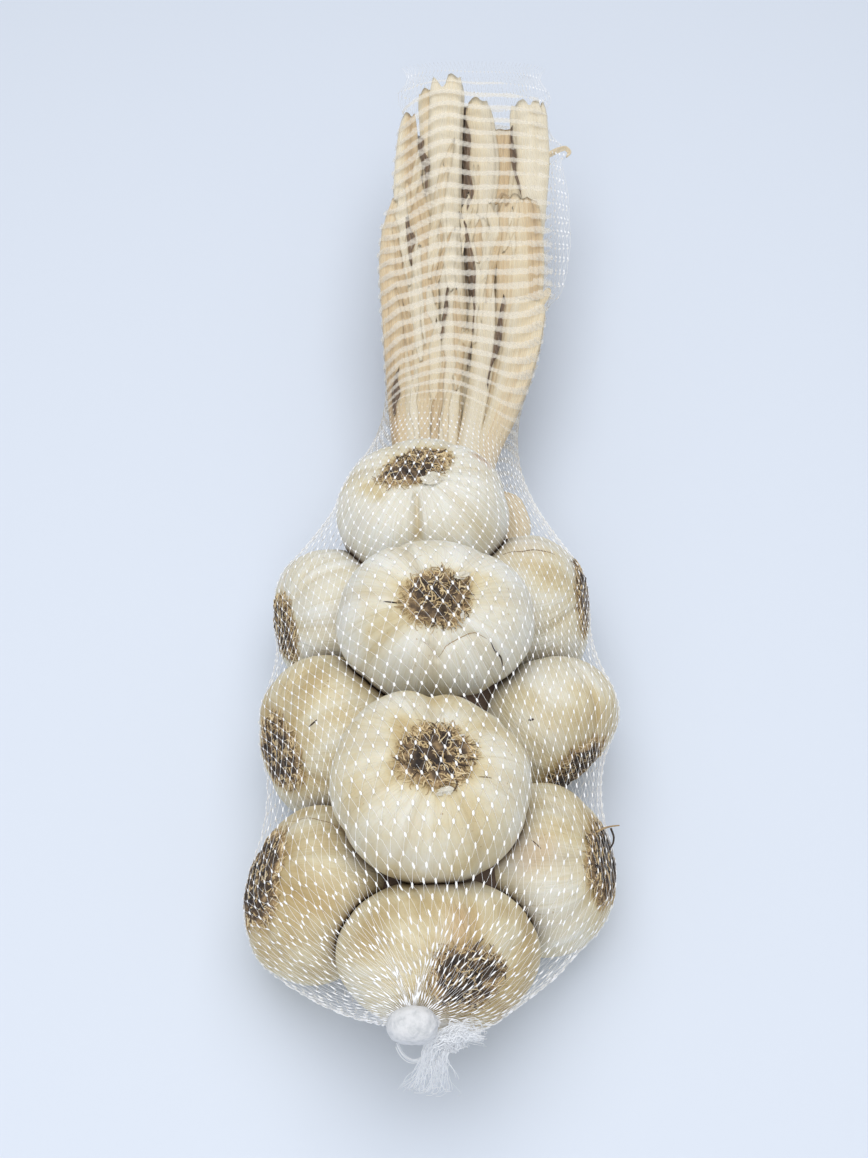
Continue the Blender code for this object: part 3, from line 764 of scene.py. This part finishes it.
def make_splits(material):
    """The thin dark lines where the skins have split."""
    rows = [(tone, width, line, bulb.place) for bulb in BRAID for tone, width, line in bulb.splits()]
    tones, widths, paths, places = (np.array(column) for column in zip(*rows))
    taper = np.sin(math.pi * np.linspace(0.06, 0.94, SPLIT_STATIONS)) ** 0.6
    upward = unit(paths - places[:, None])
    points = tube_points(paths, widths[:, None] * taper, 4, upward)
    piece = new_piece("skin_splits", points, tube_faces(len(paths), SPLIT_STATIONS, 4))
    add_attribute(piece.data, "tone", np.repeat(tones, SPLIT_STATIONS * 4))
    return finish_piece(piece, material, "netted_braid")


def bundle_height(y):
    return NECK_HEIGHT + STALK_RISE * (y - NECK_Y)


def smooth_rows(y, places, values):
    """Values eased between the rows."""
    straight = np.interp(y, places, values)
    for _ in range(6):
        straight[1:-1] = 0.25 * straight[:-2] + 0.5 * straight[1:-1] + 0.25 * straight[2:]
    return straight


def eased_line(rows, stations):
    """Evenly spaced rows eased to this many stations."""
    share, at = np.linspace(0, 1, stations), np.linspace(0, 1, len(rows))
    return np.stack([smooth_rows(share, at, column) for column in np.array(rows, float).T], axis=-1)


def make_core(material):
    """The plaited stalks inside the braid: dark between the bulbs as painted shade, straw at the neck."""
    y = np.linspace(CORE_SPAN[0], CORE_SPAN[1], CORE_STATIONS)
    turn = np.arange(CORE_SIDES) * 2 * math.pi / CORE_SIDES
    station, around = np.meshgrid(y, turn, indexing="ij")
    end = np.clip(1 - (2 * (station - y[0]) / (y[-1] - y[0]) - 1) ** 8, 0.02, 1) ** 0.5
    at_neck = smooth(station, -40.0, 2.0)
    plait = 1 + 0.10 * np.cos(3 * around + station / 11.0) + 0.05 * np.cos(5 * around - station / 6.0)
    plait += 0.035 * np.cos(11 * around + station / 7.0)
    points = np.stack([CORE_HALF_SIZE[0] * (1 - 0.38 * at_neck) * end * plait * np.cos(around), station,
                       CORE_LEVEL + CORE_HALF_SIZE[1] * (1 - 0.62 * at_neck) * end * plait * np.sin(around)],
                      axis=-1)
    piece = new_piece("plaited_core", points.reshape(-1, 3), tube_faces(1, CORE_STATIONS, CORE_SIDES))
    grain = np.stack([np.cos(around) * 2.0, np.sin(around) * 2.0, station / 90.0], axis=-1)
    add_attribute(piece.data, "grain", grain.reshape(-1, 3))
    # Painted shade: near black between the bulbs, easing to the straw colour at the neck.
    add_attribute(piece.data, "tone", (1.25 - 0.95 * smooth(station, -62.0, -36.0)).ravel())
    return finish_piece(piece, material, "netted_braid")


# ---------------------------------------------------------------- net
def net_rays():
    """Origins and ways of the rays the net is measured along: a cap of rays round
    the clip end, then rings across the braid up to the open end."""
    turn = math.pi / 2 + np.arange(RING_POINTS) * 2 * math.pi / RING_POINTS
    core = np.array(CAP_CORE)
    to_clip = unit(np.array(GATHER_PLACE) - core)
    first = math.atan(GATHER_RADIUS / np.linalg.norm(np.array(GATHER_PLACE) - core))
    origins, ways = [], []
    for open_angle in np.linspace(first, math.pi / 2, CAP_RINGS):
        share = smooth(open_angle, first, math.pi / 2)
        axis = unit((1 - share) * to_clip + share * np.array((0.0, -1.0, 0.0)))
        right = unit(np.array(RIGHT) - axis * axis[0])
        upward = np.cross(axis, right)
        rim = np.cos(turn)[:, None] * right + np.sin(turn)[:, None] * upward
        ways.append(math.cos(open_angle) * axis + math.sin(open_angle) * rim)
        origins.append(core)
    line = np.array(CORE_LINE)
    for y in np.linspace(CAP_CORE[1], NET_END_Y, BODY_RINGS + 1)[1:]:
        origins.append(np.array([np.interp(y, line[:, 0], line[:, 1]), y,
                                 np.interp(y, line[:, 0], line[:, 2])]))
        ways.append(np.stack([np.cos(turn), 0 * turn, np.sin(turn)], axis=-1))
    return np.array(origins), np.array(ways), turn


def contents_reach(origins, ways, tree):
    """How far the braid reaches along each ray, and how far with its slack folds."""
    bare = np.zeros(ways.shape[:2])
    reach = np.zeros(ways.shape[:2])
    far = 130.0
    for k, origin in enumerate(origins):
        for i, way in enumerate(ways[k]):
            hit = tree.ray_cast(Vector((origin + far * way) * MM), Vector(-way), far * MM)
            if hit[0] is not None:
                bare[k, i] = reach[k, i] = far - hit[3] / MM
        for x, level, start, stop, wide, tall in SLACK:
            if k >= CAP_RINGS and start < origin[1] < stop:
                ease = min(1.0, (origin[1] - start) / 35.0, (stop - origin[1]) / 35.0 + 0.35)
                size = np.array((wide, tall)) * math.sqrt(max(ease, 0.02))
                offset = (origin[[0, 2]] - (x, bundle_height(origin[1]) + level)) / size
                slope = ways[k][:, [0, 2]] / size
                a, b, c = (slope**2).sum(1), slope @ offset, offset @ offset - 1
                root = b * b - a * c
                edge = (-b + np.sqrt(np.maximum(root, 0))) / a
                reach[k] = np.where(root > 0, np.maximum(reach[k], edge), reach[k])
    return bare, reach


def stretch_net(origins, ways, turn, bare, reach):
    """Pull a taut skin over the contents, held by the clip and the flat open end.
    Gives its places, and how far it stands off the braid."""
    skin = reach.copy()
    for shift in range(1, 9):
        for axis in (0, 1):
            for sign in (-shift, shift):
                moved = np.roll(reach, sign, axis=axis)
                if axis == 0:
                    moved[:shift], moved[-shift:] = 0, 0
                skin = np.maximum(skin, moved)
    skin = np.maximum(skin, 12.0)
    clip_end = np.full(RING_POINTS, np.linalg.norm(np.array(GATHER_PLACE) - origins[0]))
    wide, tall = OPEN_END_HALF_SIZE
    open_end = 1.0 / np.hypot(np.cos(turn) / wide, np.sin(turn) / tall)
    reach = reach.copy()
    reach[0], reach[-1] = 0, 0
    for _ in range(TENSION_ROUNDS):
        skin[0], skin[-1] = clip_end, open_end
        place = origins[:, None] + skin[..., None] * ways
        middle = 0.5 * (np.roll(place, 1, axis=1) + np.roll(place, -1, axis=1))
        middle[1:-1] = 0.5 * middle[1:-1] + 0.25 * (place[:-2] + place[2:])
        pulled = ((middle - origins[:, None]) * ways).sum(-1)
        skin = np.maximum(reach, pulled)
    skin[0], skin[-1] = clip_end, open_end
    return np.concatenate([origins[:, None] + skin[..., None] * ways, (skin - bare)[..., None]], axis=-1)


def net_lattice(skin, turn):
    """Places of the net at half rows and quarter columns with how far they stand
    off the braid, and its outward ways."""
    rng = np.random.default_rng(78)
    crowd = 1.0 + 0.16 * ripples(skin[..., :3], 301, 6, 0.03, 0.10)
    share = np.arange(len(skin))[:, None] / (CAP_RINGS * 1.3)
    for near, further, width, pull in PLEATS:
        lean = np.mod(turn - np.radians(np.interp(share, (0, 1), (near, further))) + math.pi, 2 * math.pi)
        crowd += pull * (1 - smooth(share, 0, 1)) * np.exp(-(((lean - math.pi) / width) ** 2))
    columns = np.arange(4 * NET_COLUMNS) / (4.0 * NET_COLUMNS)
    rings = np.empty((len(skin), 4 * NET_COLUMNS, 4))
    for k, ring in enumerate(skin):
        closed = np.vstack([ring, ring[:1]])
        weight = np.append(crowd[k], crowd[k, 0])
        step = np.linalg.norm(np.diff(closed[:, :3], axis=0), axis=1) * 0.5 * (weight[1:] + weight[:-1])
        gone = np.insert(np.cumsum(step), 0, 0.0)
        twisted = np.mod(columns + NET_TWIST * ring[:, 1].mean() / NET_END_Y, 1.0)
        for axis in range(4):
            rings[k, :, axis] = np.interp(twisted * gone[-1], gone, closed[:, axis])
    spacing = ROW_ON_BULBS + (ROW_ON_STALKS - ROW_ON_BULBS) * smooth(rings[..., 1], 5.0, 45.0)
    spacing *= 1.0 + 0.10 * ripples(rings[..., :3], 302, 5, 0.03, 0.08)
    scatter = rng.normal(0, CLIP_SCATTER, 4 * NET_COLUMNS)
    rows = np.arange(2 * NET_ROWS + 1) / 2.0
    lattice = np.empty((2 * NET_ROWS + 1, 4 * NET_COLUMNS, 4))
    for q in range(4 * NET_COLUMNS):
        line = rings[:, q]
        step = np.linalg.norm(np.diff(line[:, :3], axis=0), axis=1) / spacing[1:, q]
        gone = np.insert(np.cumsum(step), 0, 0.0)
        gone *= NET_ROWS / gone[-1]
        back = (1 - smooth(line[:, 0], -22.0, 10.0)) * smooth(line[:, 1], 5.0, 70.0)
        gone += ROW_SLIDE * back * (1 - smooth(line[:, 1], 190.0, 236.0))
        gone += scatter[q] * smooth(line[:, 1], -228.0, -220.0) * (1 - smooth(line[:, 1], -205.0, -150.0))
        for axis in range(4):
            lattice[:, q, axis] = np.interp(rows, gone, line[:, axis])
    along = np.gradient(lattice[..., :3], axis=0)
    around = np.roll(lattice[..., :3], -1, axis=1) - np.roll(lattice[..., :3], 1, axis=1)
    outward = unit(np.cross(along, around))
    return lattice, outward


def make_net(lattice, outward, material):
    """Fine white diamond net: twisted strands between long flat knots."""
    rng = np.random.default_rng(77)
    total = 4 * NET_COLUMNS
    loose = lattice[..., 3]
    lattice = lattice[..., :3] + outward * NET_CLEARANCE
    lattice[..., 2] = np.maximum(lattice[..., 2], FLOOR_GAP)
    straw = smooth(lattice[..., 1], *STRAW_FROM) * (1 - smooth(loose - STRAW_MARGIN[0], *OFF_STALKS))
    straw *= 1 - smooth(lattice[..., 0] - STRAW_MARGIN[1], *BESIDE_STALKS)
    paths, upward, strand_straw = [], [], []
    knots, knot_way, knot_out, knot_straw, room, slack = [], [], [], [], [], []
    for j in range(NET_ROWS + 1):
        q = (4 * np.arange(NET_COLUMNS) + 2 * (j % 2)) % total
        at = 2 * j
        here, out = lattice[at, q], outward[at, q]
        if 0 < j < NET_ROWS:
            knots.append(here)
            knot_way.append(lattice[at + 1, q] - lattice[at - 1, q])
            knot_out.append(out)
            slack.append(loose[at, q])
            knot_straw.append(straw[at, q])
            room.append(np.linalg.norm(lattice[at, q - 2] - lattice[at, (q + 2) % total], axis=-1))
        if j < NET_ROWS:
            for side in (-1, 1):
                steps = (at, q), (at + 1, (q + side) % total), (at + 2, (q + 2 * side) % total)
                for found, values in ((paths, lattice), (upward, outward), (strand_straw, straw)):
                    found.append(np.stack([values[step] for step in steps], 1))
    paths, upward = np.concatenate(paths), np.concatenate(upward)
    radii = STRAND_RADIUS * rng.uniform(0.85, 1.15, (len(paths), 3))
    points = tube_points(paths, radii, 3, upward)
    strands = new_piece("net_strands", points, tube_faces(len(paths), 3, 3))
    add_attribute(strands.data, "straw", np.repeat(np.concatenate(strand_straw).ravel(), 3))
    finish_piece(strands, material, "netted_braid")
    knots, way, out = np.concatenate(knots), unit(np.concatenate(knot_way)), np.concatenate(knot_out)
    way = unit(way - out * (way * out).sum(-1, keepdims=True))
    across = np.cross(way, out)
    spin = rng.normal(0, 0.12, (len(knots), 1))
    way, across = way * np.cos(spin) + across * np.sin(spin), across * np.cos(spin) - way * np.sin(spin)
    size = rng.uniform(0.85, 1.15, (len(knots), 3)) * KNOT_HALF_SIZE
    on_stalks = smooth(knots[:, 1:2], *ON_STALKS)
    tight = 1 - 0.9 * smooth(np.concatenate(slack)[:, None], *OFF_STALKS)
    tight *= 1 - 0.9 * np.maximum(smooth(knots[:, :1], *BESIDE_STALKS), smooth(knots[:, 1:2], *PAST_STALKS))
    size *= 1 + (np.array(KNOT_ON_STALKS) * tight + 0.6 * (1 - tight) - 1) * on_stalks
    at_clip = 1 - smooth(knots[:, 1], -222.0, -165.0)
    size[:, 0] *= 1 + (KNOT_AT_CLIP[0] - 1) * at_clip
    size[:, 1] *= 1 + (KNOT_AT_CLIP[1] - 1) * at_clip
    widest = KNOT_ROOM[0] + (KNOT_ROOM[1] - KNOT_ROOM[0]) * on_stalks[:, 0]
    size[:, 1] = np.minimum(size[:, 1], widest * (1 - 0.45 * at_clip) * np.concatenate(room))
    corners = []
    for end, share in ((-1.0, 0.15), (-0.45, 1.0), (0.45, 1.0), (1.0, 0.15)):
        for turn in (0.0, 0.5, 1.0, 1.5):
            corners.append(knots + way * size[:, :1] * end
                           + across * size[:, 1:2] * share * math.cos(math.pi * turn)
                           + out * (0.12 + size[:, 2:] * share * math.sin(math.pi * turn)))
    body = new_piece("net_knots", np.stack(corners, axis=1).reshape(-1, 3),
                     tube_faces(len(knots), 4, 4))
    add_attribute(body.data, "straw", np.repeat(np.concatenate(knot_straw), 16))
    finish_piece(body, material, "netted_braid")
    body.data.shade_flat()


# ---------------------------------------------------------------- clip and tail
def make_clip(material):
    """A pressed white button with a rough crumpled face."""
    piece = new_sphere("clip_button", *CLIP_MESH)
    ball = unit(vertex_array(piece.data))
    form = (np.abs(ball) ** 2.3).sum(-1) ** (-1 / 2.3)
    form *= 1.0 + 0.022 * ripples(ball, 401, 6, 2.0, 5.0) + 0.012 * ripples(ball, 402, 10, 9.0, 22.0)
    form *= 1.0 - 0.010 * np.abs(ripples(ball, 403, 6, 12.0, 26.0))
    points = np.array(CLIP_PLACE) + ball * form[:, None] * CLIP_HALF_SIZE
    set_vertices(piece.data, points)
    return finish_piece(piece, material, "clip")


def tail_line(share):
    """Place, half width and half thickness at a share of the tail's length."""
    rows = np.array([[*place, wide, thick] for place, wide, thick in TAIL_ROUTE])
    at = np.linspace(0, 1, len(rows))
    return np.stack([np.interp(share, at, rows[:, i]) for i in range(5)], axis=-1)


def make_tail(material):
    """Crushed net beyond the clip: a tuft at one side, a hanging strip that frays,
    and one loose loop."""
    rng = np.random.default_rng(55)
    count, stations = TAIL_STRANDS, TAIL_STATIONS
    tuft = np.arange(count) < TUFT_STRANDS
    start = np.where(tuft, rng.uniform(0.30, 0.46, count), rng.uniform(0.36, 0.72, count))
    length = np.where(tuft, -rng.uniform(0.15, 0.44, count), 0.16 + 0.46 * rng.uniform(0, 1, count) ** 1.5)
    t = np.linspace(0, 1, stations)[None, :]
    share = np.clip(start[:, None] + length[:, None] * t, 0, 1.0)
    line = tail_line(share)
    wave = rng.uniform(2, 7, (count, 2)) * np.where(tuft, 1.0, 0.4)[:, None]
    phase = rng.uniform(0, 6.28, (count, 2))
    swing = rng.uniform(0.05, 0.45, (count, 2)) * np.where(tuft, 1.0, 0.35)[:, None]
    offset = rng.uniform(-1, 1, (count, 1, 2)) * [0.95, 0.9]
    offset = offset + swing[:, None] * np.sin(wave[:, None] * t[..., None] * 3 + phase[:, None])
    offset = np.clip(offset, -1.15, 1.15)
    forward = np.gradient(line[..., :3], axis=1)
    forward = unit(forward + np.where(tuft, 1, -1)[:, None, None] * [1e-6, 0, 1e-6])
    forward[tuft] *= -1
    across = unit(np.cross(forward, (0.0, -1.0, 0.0)))
    out = np.cross(across, forward)
    paths = (line[..., :3] + across * (offset[..., :1] * line[..., 3:4])
             + out * (offset[..., 1:] * line[..., 4:5]))
    droop = np.where(tuft, rng.uniform(0.0, 7.0, count) * (share[:, -1] < 0.28), 0.0)
    paths[..., 2] -= droop[:, None] * t**3
    paths[..., 0] += 0.05 * droop[:, None] * t**3
    fray = np.where(tuft, 0.0, rng.normal(-0.4, 2.8, count) * (share[:, -1] > 0.75))
    paths[..., 0] += fray[:, None] * smooth(t, 0.35, 1.0)
    beside = eased_line(TAIL_LOOP, stations) + rng.normal(0, 0.28, (LOOP_STRANDS, 1, 3))
    paths = np.concatenate([paths, beside])
    out = np.concatenate([out, np.broadcast_to((0.0, -1.0, 0.2), beside.shape)])
    radii = rng.uniform(0.06, 0.16, (len(paths), 1)) * (1 - 0.5 * t)
    points = tube_points(paths, radii, 4, out)
    piece = new_piece("tail_strands", points, tube_faces(len(paths), stations, 4))
    return finish_piece(piece, material, "net_tail")


# ---------------------------------------------------------------- materials
def new_material(name):
    material = bpy.data.materials.new(name)
    material.use_nodes = True
    nodes = material.node_tree.nodes
    return material, nodes, material.node_tree.links, nodes["Principled BSDF"]


def attribute(nodes, name):
    made = nodes.new("ShaderNodeAttribute")
    made.attribute_name = name
    return made


def noise(nodes, links, vector, scale, detail, roughness):
    """Fractal noise over a vector stretched by a triple or a single scale."""
    made = nodes.new("ShaderNodeTexNoise")
    made.inputs["Scale"].default_value = 1.0
    made.inputs["Detail"].default_value = detail
    made.inputs["Roughness"].default_value = roughness
    stretch = nodes.new("ShaderNodeVectorMath")
    stretch.operation = "MULTIPLY"
    stretch.inputs[1].default_value = scale
    links.new(vector, stretch.inputs[0])
    links.new(stretch.outputs[0], made.inputs["Vector"])
    return made.outputs["Fac"]


def ramp(nodes, links, source, stops):
    made = nodes.new("ShaderNodeValToRGB")
    elements = made.color_ramp.elements
    while len(elements) < len(stops):
        elements.new(0.5)
    for element, (place, colour) in zip(elements, stops):
        element.position = place
        element.color = (*colour, 1.0)
    links.new(source, made.inputs["Fac"])
    return made.outputs["Color"]


def mix(nodes, links, share, first, second, blend="MIX"):
    made = nodes.new("ShaderNodeMix")
    made.data_type = "RGBA"
    made.blend_type = blend
    for socket, value in ((made.inputs[0], share), (made.inputs[6], first), (made.inputs[7], second)):
        if isinstance(value, bpy.types.NodeSocket):
            links.new(value, socket)
        elif isinstance(value, tuple):
            socket.default_value = (*value, 1.0)
        else:
            socket.default_value = value
    return made.outputs[2]


def add_up(nodes, links, first, factor, second):
    """first * factor + second, where second may be a number or an output."""
    made = nodes.new("ShaderNodeMath")
    made.operation = "MULTIPLY_ADD"
    links.new(first, made.inputs[0])
    made.inputs[1].default_value = factor
    if isinstance(second, bpy.types.NodeSocket):
        links.new(second, made.inputs[2])
    else:
        made.inputs[2].default_value = second
    return made.outputs[0]


def bump(nodes, links, height, strength, distance, under=None):
    made = nodes.new("ShaderNodeBump")
    made.inputs["Strength"].default_value = strength
    made.inputs["Distance"].default_value = distance
    links.new(height, made.inputs["Height"])
    if under is not None:
        links.new(under, made.inputs["Normal"])
    return made.outputs["Normal"]


def skin_material():
    """Dry papery garlic skin: ivory, streaked from root to neck, straw near the root, with painted shade
    where the bulbs meet and in the grooves.
    """
    material, nodes, links, shader = new_material("garlic_skin")
    grain = attribute(nodes, "grain").outputs["Vector"]
    place = nodes.new("ShaderNodeTexCoord").outputs["Object"]
    fibres = noise(nodes, links, grain, (30, 30, 1.8), 6.0, 0.66)
    veins = noise(nodes, links, grain, (9, 9, 1.0), 3.0, 0.5)
    layers = noise(nodes, links, grain, (3.6, 3.6, 3.0), 4.0, 0.55)
    mottle = noise(nodes, links, place, (95, 95, 95), 6.0, 0.62)
    specks = noise(nodes, links, place, (620, 620, 620), 2.0, 0.5)
    turned = add_up(nodes, links, mottle, 1.2, attribute(nodes, "stain").outputs["Fac"])
    turned = add_up(nodes, links, fibres, 0.45, turned)
    turned = add_up(nodes, links, turned, 1.0, -0.82)
    skin = ramp(nodes, links, turned, [
        (0.0, (0.80, 0.80, 0.75)), (0.28, (0.77, 0.745, 0.64)),
        (0.58, (0.72, 0.65, 0.46)), (1.0, (0.56, 0.45, 0.25)),
    ])
    peeled = ramp(nodes, links, layers, [(0.50, (0.95, 0.935, 0.89)), (0.525, (1.0, 1.0, 1.0))])
    skin = mix(nodes, links, 0.8, skin, peeled, "MULTIPLY")
    streak = ramp(nodes, links, fibres, [
        (0.30, (0.82, 0.77, 0.65)), (0.47, (0.97, 0.955, 0.92)), (0.66, (1.0, 1.0, 1.0)),
    ])
    skin = mix(nodes, links, 0.8, skin, streak, "MULTIPLY")
    vein = ramp(nodes, links, veins, [(0.36, (0.93, 0.885, 0.78)), (0.55, (1.0, 1.0, 1.0))])
    skin = mix(nodes, links, 0.55, skin, vein, "MULTIPLY")
    speck = ramp(nodes, links, specks, [(0.70, (1.0, 1.0, 1.0)), (0.76, (0.62, 0.50, 0.34))])
    skin = mix(nodes, links, 0.7, skin, speck, "MULTIPLY")
    # Painted shade with the seams' own yellow tint in the grooves between the cloves.
    skin = mix(nodes, links, attribute(nodes, "groove").outputs["Fac"], skin,
               (0.74, 0.62, 0.40), "MULTIPLY")
    skin = mix(nodes, links, attribute(nodes, "blush").outputs["Fac"], skin, (0.86, 0.66, 0.52), "MULTIPLY")
    # Painted shade: the skin is multiplied toward dark brown where the bulbs meet.
    skin = mix(nodes, links, attribute(nodes, "nook").outputs["Fac"], skin, (0.20, 0.135, 0.09), "MULTIPLY")
    skin = mix(nodes, links, attribute(nodes, "crack").outputs["Fac"], skin, (0.12, 0.08, 0.045))
    links.new(skin, shader.inputs["Base Color"])
    shader.inputs["Roughness"].default_value = 0.50
    shader.inputs["Subsurface Weight"].default_value = 0.10
    shader.inputs["Subsurface Radius"].default_value = (1.0, 0.7, 0.4)
    shader.inputs["Subsurface Scale"].default_value = 0.003
    wrinkle = bump(nodes, links, veins, 0.35, 0.0018)
    peel = bump(nodes, links, layers, 0.30, 0.0020, wrinkle)
    links.new(bump(nodes, links, fibres, 0.45, 0.0007, peel), shader.inputs["Normal"])
    return material


def root_material():
    """Dry roots from black brown to straw, by each root's tone."""
    material, nodes, links, shader = new_material("dry_roots")
    place = nodes.new("ShaderNodeTexCoord").outputs["Object"]
    speckle = noise(nodes, links, place, (900, 900, 900), 4.0, 0.6)
    tone = add_up(nodes, links, speckle, 0.45, attribute(nodes, "tone").outputs["Fac"])
    tone = add_up(nodes, links, tone, 1.0, -0.22)
    colour = ramp(nodes, links, tone, [
        (0.0, (0.016, 0.010, 0.007)), (0.25, (0.085, 0.054, 0.030)),
        (0.50, (0.34, 0.23, 0.115)), (0.78, (0.62, 0.47, 0.25)), (1.0, (0.76, 0.63, 0.40)),
    ])
    links.new(colour, shader.inputs["Base Color"])
    shader.inputs["Roughness"].default_value = 0.75
    return material


def stalk_material():
    """Dry straw stalks: pale, with brown fibres along them, and painted shade darkening the hollow cut ends.
    """
    material, nodes, links, shader = new_material("dry_stalk")
    grain = attribute(nodes, "grain").outputs["Vector"]
    fibres = noise(nodes, links, grain, (14, 14, 5), 6.0, 0.65)
    bands = noise(nodes, links, grain, (4, 4, 2), 3.0, 0.5)
    tone = add_up(nodes, links, fibres, 0.8, attribute(nodes, "tone").outputs["Fac"])
    tone = add_up(nodes, links, bands, 0.5, tone)
    tone = add_up(nodes, links, tone, 1.0, -0.55)
    colour = ramp(nodes, links, tone, [
        (0.0, (0.80, 0.74, 0.60)), (0.30, (0.78, 0.68, 0.49)),
        (0.60, (0.64, 0.49, 0.30)), (0.85, (0.27, 0.18, 0.11)), (1.0, (0.10, 0.065, 0.045)),
    ])
    links.new(colour, shader.inputs["Base Color"])
    shader.inputs["Roughness"].default_value = 0.62
    links.new(bump(nodes, links, fibres, 0.5, 0.0009), shader.inputs["Normal"])
    return material


def net_material(name, colour, painted_glow):
    """White net given a painted glow, so its fine threads show little shade;
    over the stalks the straw shows through it, and the glow there is dimmer and straw coloured."""
    material, nodes, links, shader = new_material(name)
    straw = attribute(nodes, "straw").outputs["Fac"]
    links.new(mix(nodes, links, straw, colour, (0.86, 0.82, 0.73)), shader.inputs["Base Color"])
    links.new(add_up(nodes, links, straw, -0.80, 1.0), shader.inputs["Alpha"])
    # Painted glow: the net glows faint white, dimmer and straw coloured over the stalks.
    light = mix(nodes, links, straw, (0.97, 0.98, 1.0), (0.30, 0.28, 0.24))
    links.new(light, shader.inputs["Emission Color"])
    links.new(add_up(nodes, links, straw, 0.4, 0.35), shader.inputs["Roughness"])
    shader.inputs["Emission Strength"].default_value = painted_glow
    return material


def clip_material():
    """White pressed plastic, rough and slightly uneven in tone."""
    material, nodes, links, shader = new_material("clip_white")
    place = nodes.new("ShaderNodeTexCoord").outputs["Object"]
    crumple = noise(nodes, links, place, (420, 260, 700), 5.0, 0.65)
    colour = ramp(nodes, links, crumple, [(0.35, (0.56, 0.58, 0.60)), (0.55, (0.70, 0.71, 0.73))])
    links.new(colour, shader.inputs["Base Color"])
    shader.inputs["Roughness"].default_value = 0.55
    links.new(bump(nodes, links, crumple, 0.7, 0.0008), shader.inputs["Normal"])
    return material


def plain_material(name, colour, roughness):
    material, _, _, shader = new_material(name)
    shader.inputs["Base Color"].default_value = (*colour, 1.0)
    shader.inputs["Roughness"].default_value = roughness
    return material


# ---------------------------------------------------------------- stage, light and camera
def make_stage():
    bpy.ops.object.select_all(action="DESELECT")
    bpy.ops.mesh.primitive_plane_add(size=6.0, location=(0, 0, -0.0002))
    floor = bpy.context.object
    floor.name = "floor"
    floor.data.materials.append(plain_material("floor_finish", (0.66, 0.72, 0.82), 0.7))


def add_area_light(name, place, size, power, colour):
    lamp = bpy.data.lights.new(name, "AREA")
    lamp.size = size
    lamp.energy = power
    lamp.color = colour
    thing = bpy.data.objects.new(name, lamp)
    bpy.context.scene.collection.objects.link(thing)
    thing.location = place
    thing.rotation_euler = (-Vector(place)).to_track_quat("-Z", "Y").to_euler()
    return thing


def make_light():
    world = bpy.data.worlds.new("soft_room")
    world.use_nodes = True
    world.node_tree.nodes["Background"].inputs["Color"].default_value = (0.95, 0.97, 1.0, 1.0)
    world.node_tree.nodes["Background"].inputs["Strength"].default_value = 0.50
    bpy.context.scene.world = world
    add_area_light("overhead", (0.0, 0.07, 1.30), 1.5, 12.4, (1.0, 0.99, 0.98))
    add_area_light("front_fill", (-0.2, -1.15, 0.95), 1.1, 5.7, (0.97, 0.98, 1.0))


CAMERA_PLACE = (0.0, -395.2, 484.7)
CAMERA_DOWN = 52.24        # degrees below the horizon
CAMERA_LENS = 46.63


def make_camera():
    camera = bpy.data.cameras.new("camera")
    camera.sensor_width = 36.0
    camera.lens = CAMERA_LENS
    thing = bpy.data.objects.new("camera", camera)
    bpy.context.scene.collection.objects.link(thing)
    thing.location = Vector(CAMERA_PLACE) * MM
    thing.rotation_euler = (math.radians(90.0 - CAMERA_DOWN), 0.0, 0.0)
    bpy.context.scene.camera = thing


# ---------------------------------------------------------------- making it all
def tree_of(pieces):
    """One search tree over several finished pieces."""
    points, faces = [], []
    for piece in pieces:
        start = len(points)
        points += [vert.co.copy() for vert in piece.data.vertices]
        faces += [tuple(start + v for v in face.vertices) for face in piece.data.polygons]
    return BVHTree.FromPolygons(points, faces)


make_stage()
make_light()
make_camera()
bpy.context.scene.view_settings.view_transform = "Standard"
SKIN, ROOT, STALK = skin_material(), root_material(), stalk_material()
contents = []
for bulb in BRAID:
    contents += [make_bulb(bulb, SKIN), make_crust(bulb, ROOT)]
    make_rootlets(bulb, ROOT)
for number, (name, *sizes) in enumerate(FLAKES, start=1):
    make_flake(number, next(bulb for bulb in BRAID if bulb.name == name), *sizes, SKIN)
make_stray_roots(ROOT)
make_splits(ROOT)
stalks = [make_stalk(number, rows, seed, brown, STALK)
          for number, (rows, seed, brown) in enumerate(STALKS, start=1)]
contents += stalks + [make_shreds(tree_of(stalks), STALK)]
contents += [make_strip(name, rows, brown, STALK) for name, rows, brown in STRIPS]
contents.append(make_core(STALK))
# The last number of each net material is the strength of its painted glow.
NET_WHITE = net_material("net_white", (0.91, 0.92, 0.94), 0.10)
origins, ways, turn = net_rays()
bare, reach = contents_reach(origins, ways, tree_of(contents))
make_net(*net_lattice(stretch_net(origins, ways, turn, bare, reach), turn), NET_WHITE)
make_clip(clip_material())
make_tail(net_material("crushed_net", (0.86, 0.88, 0.91), 0.08))
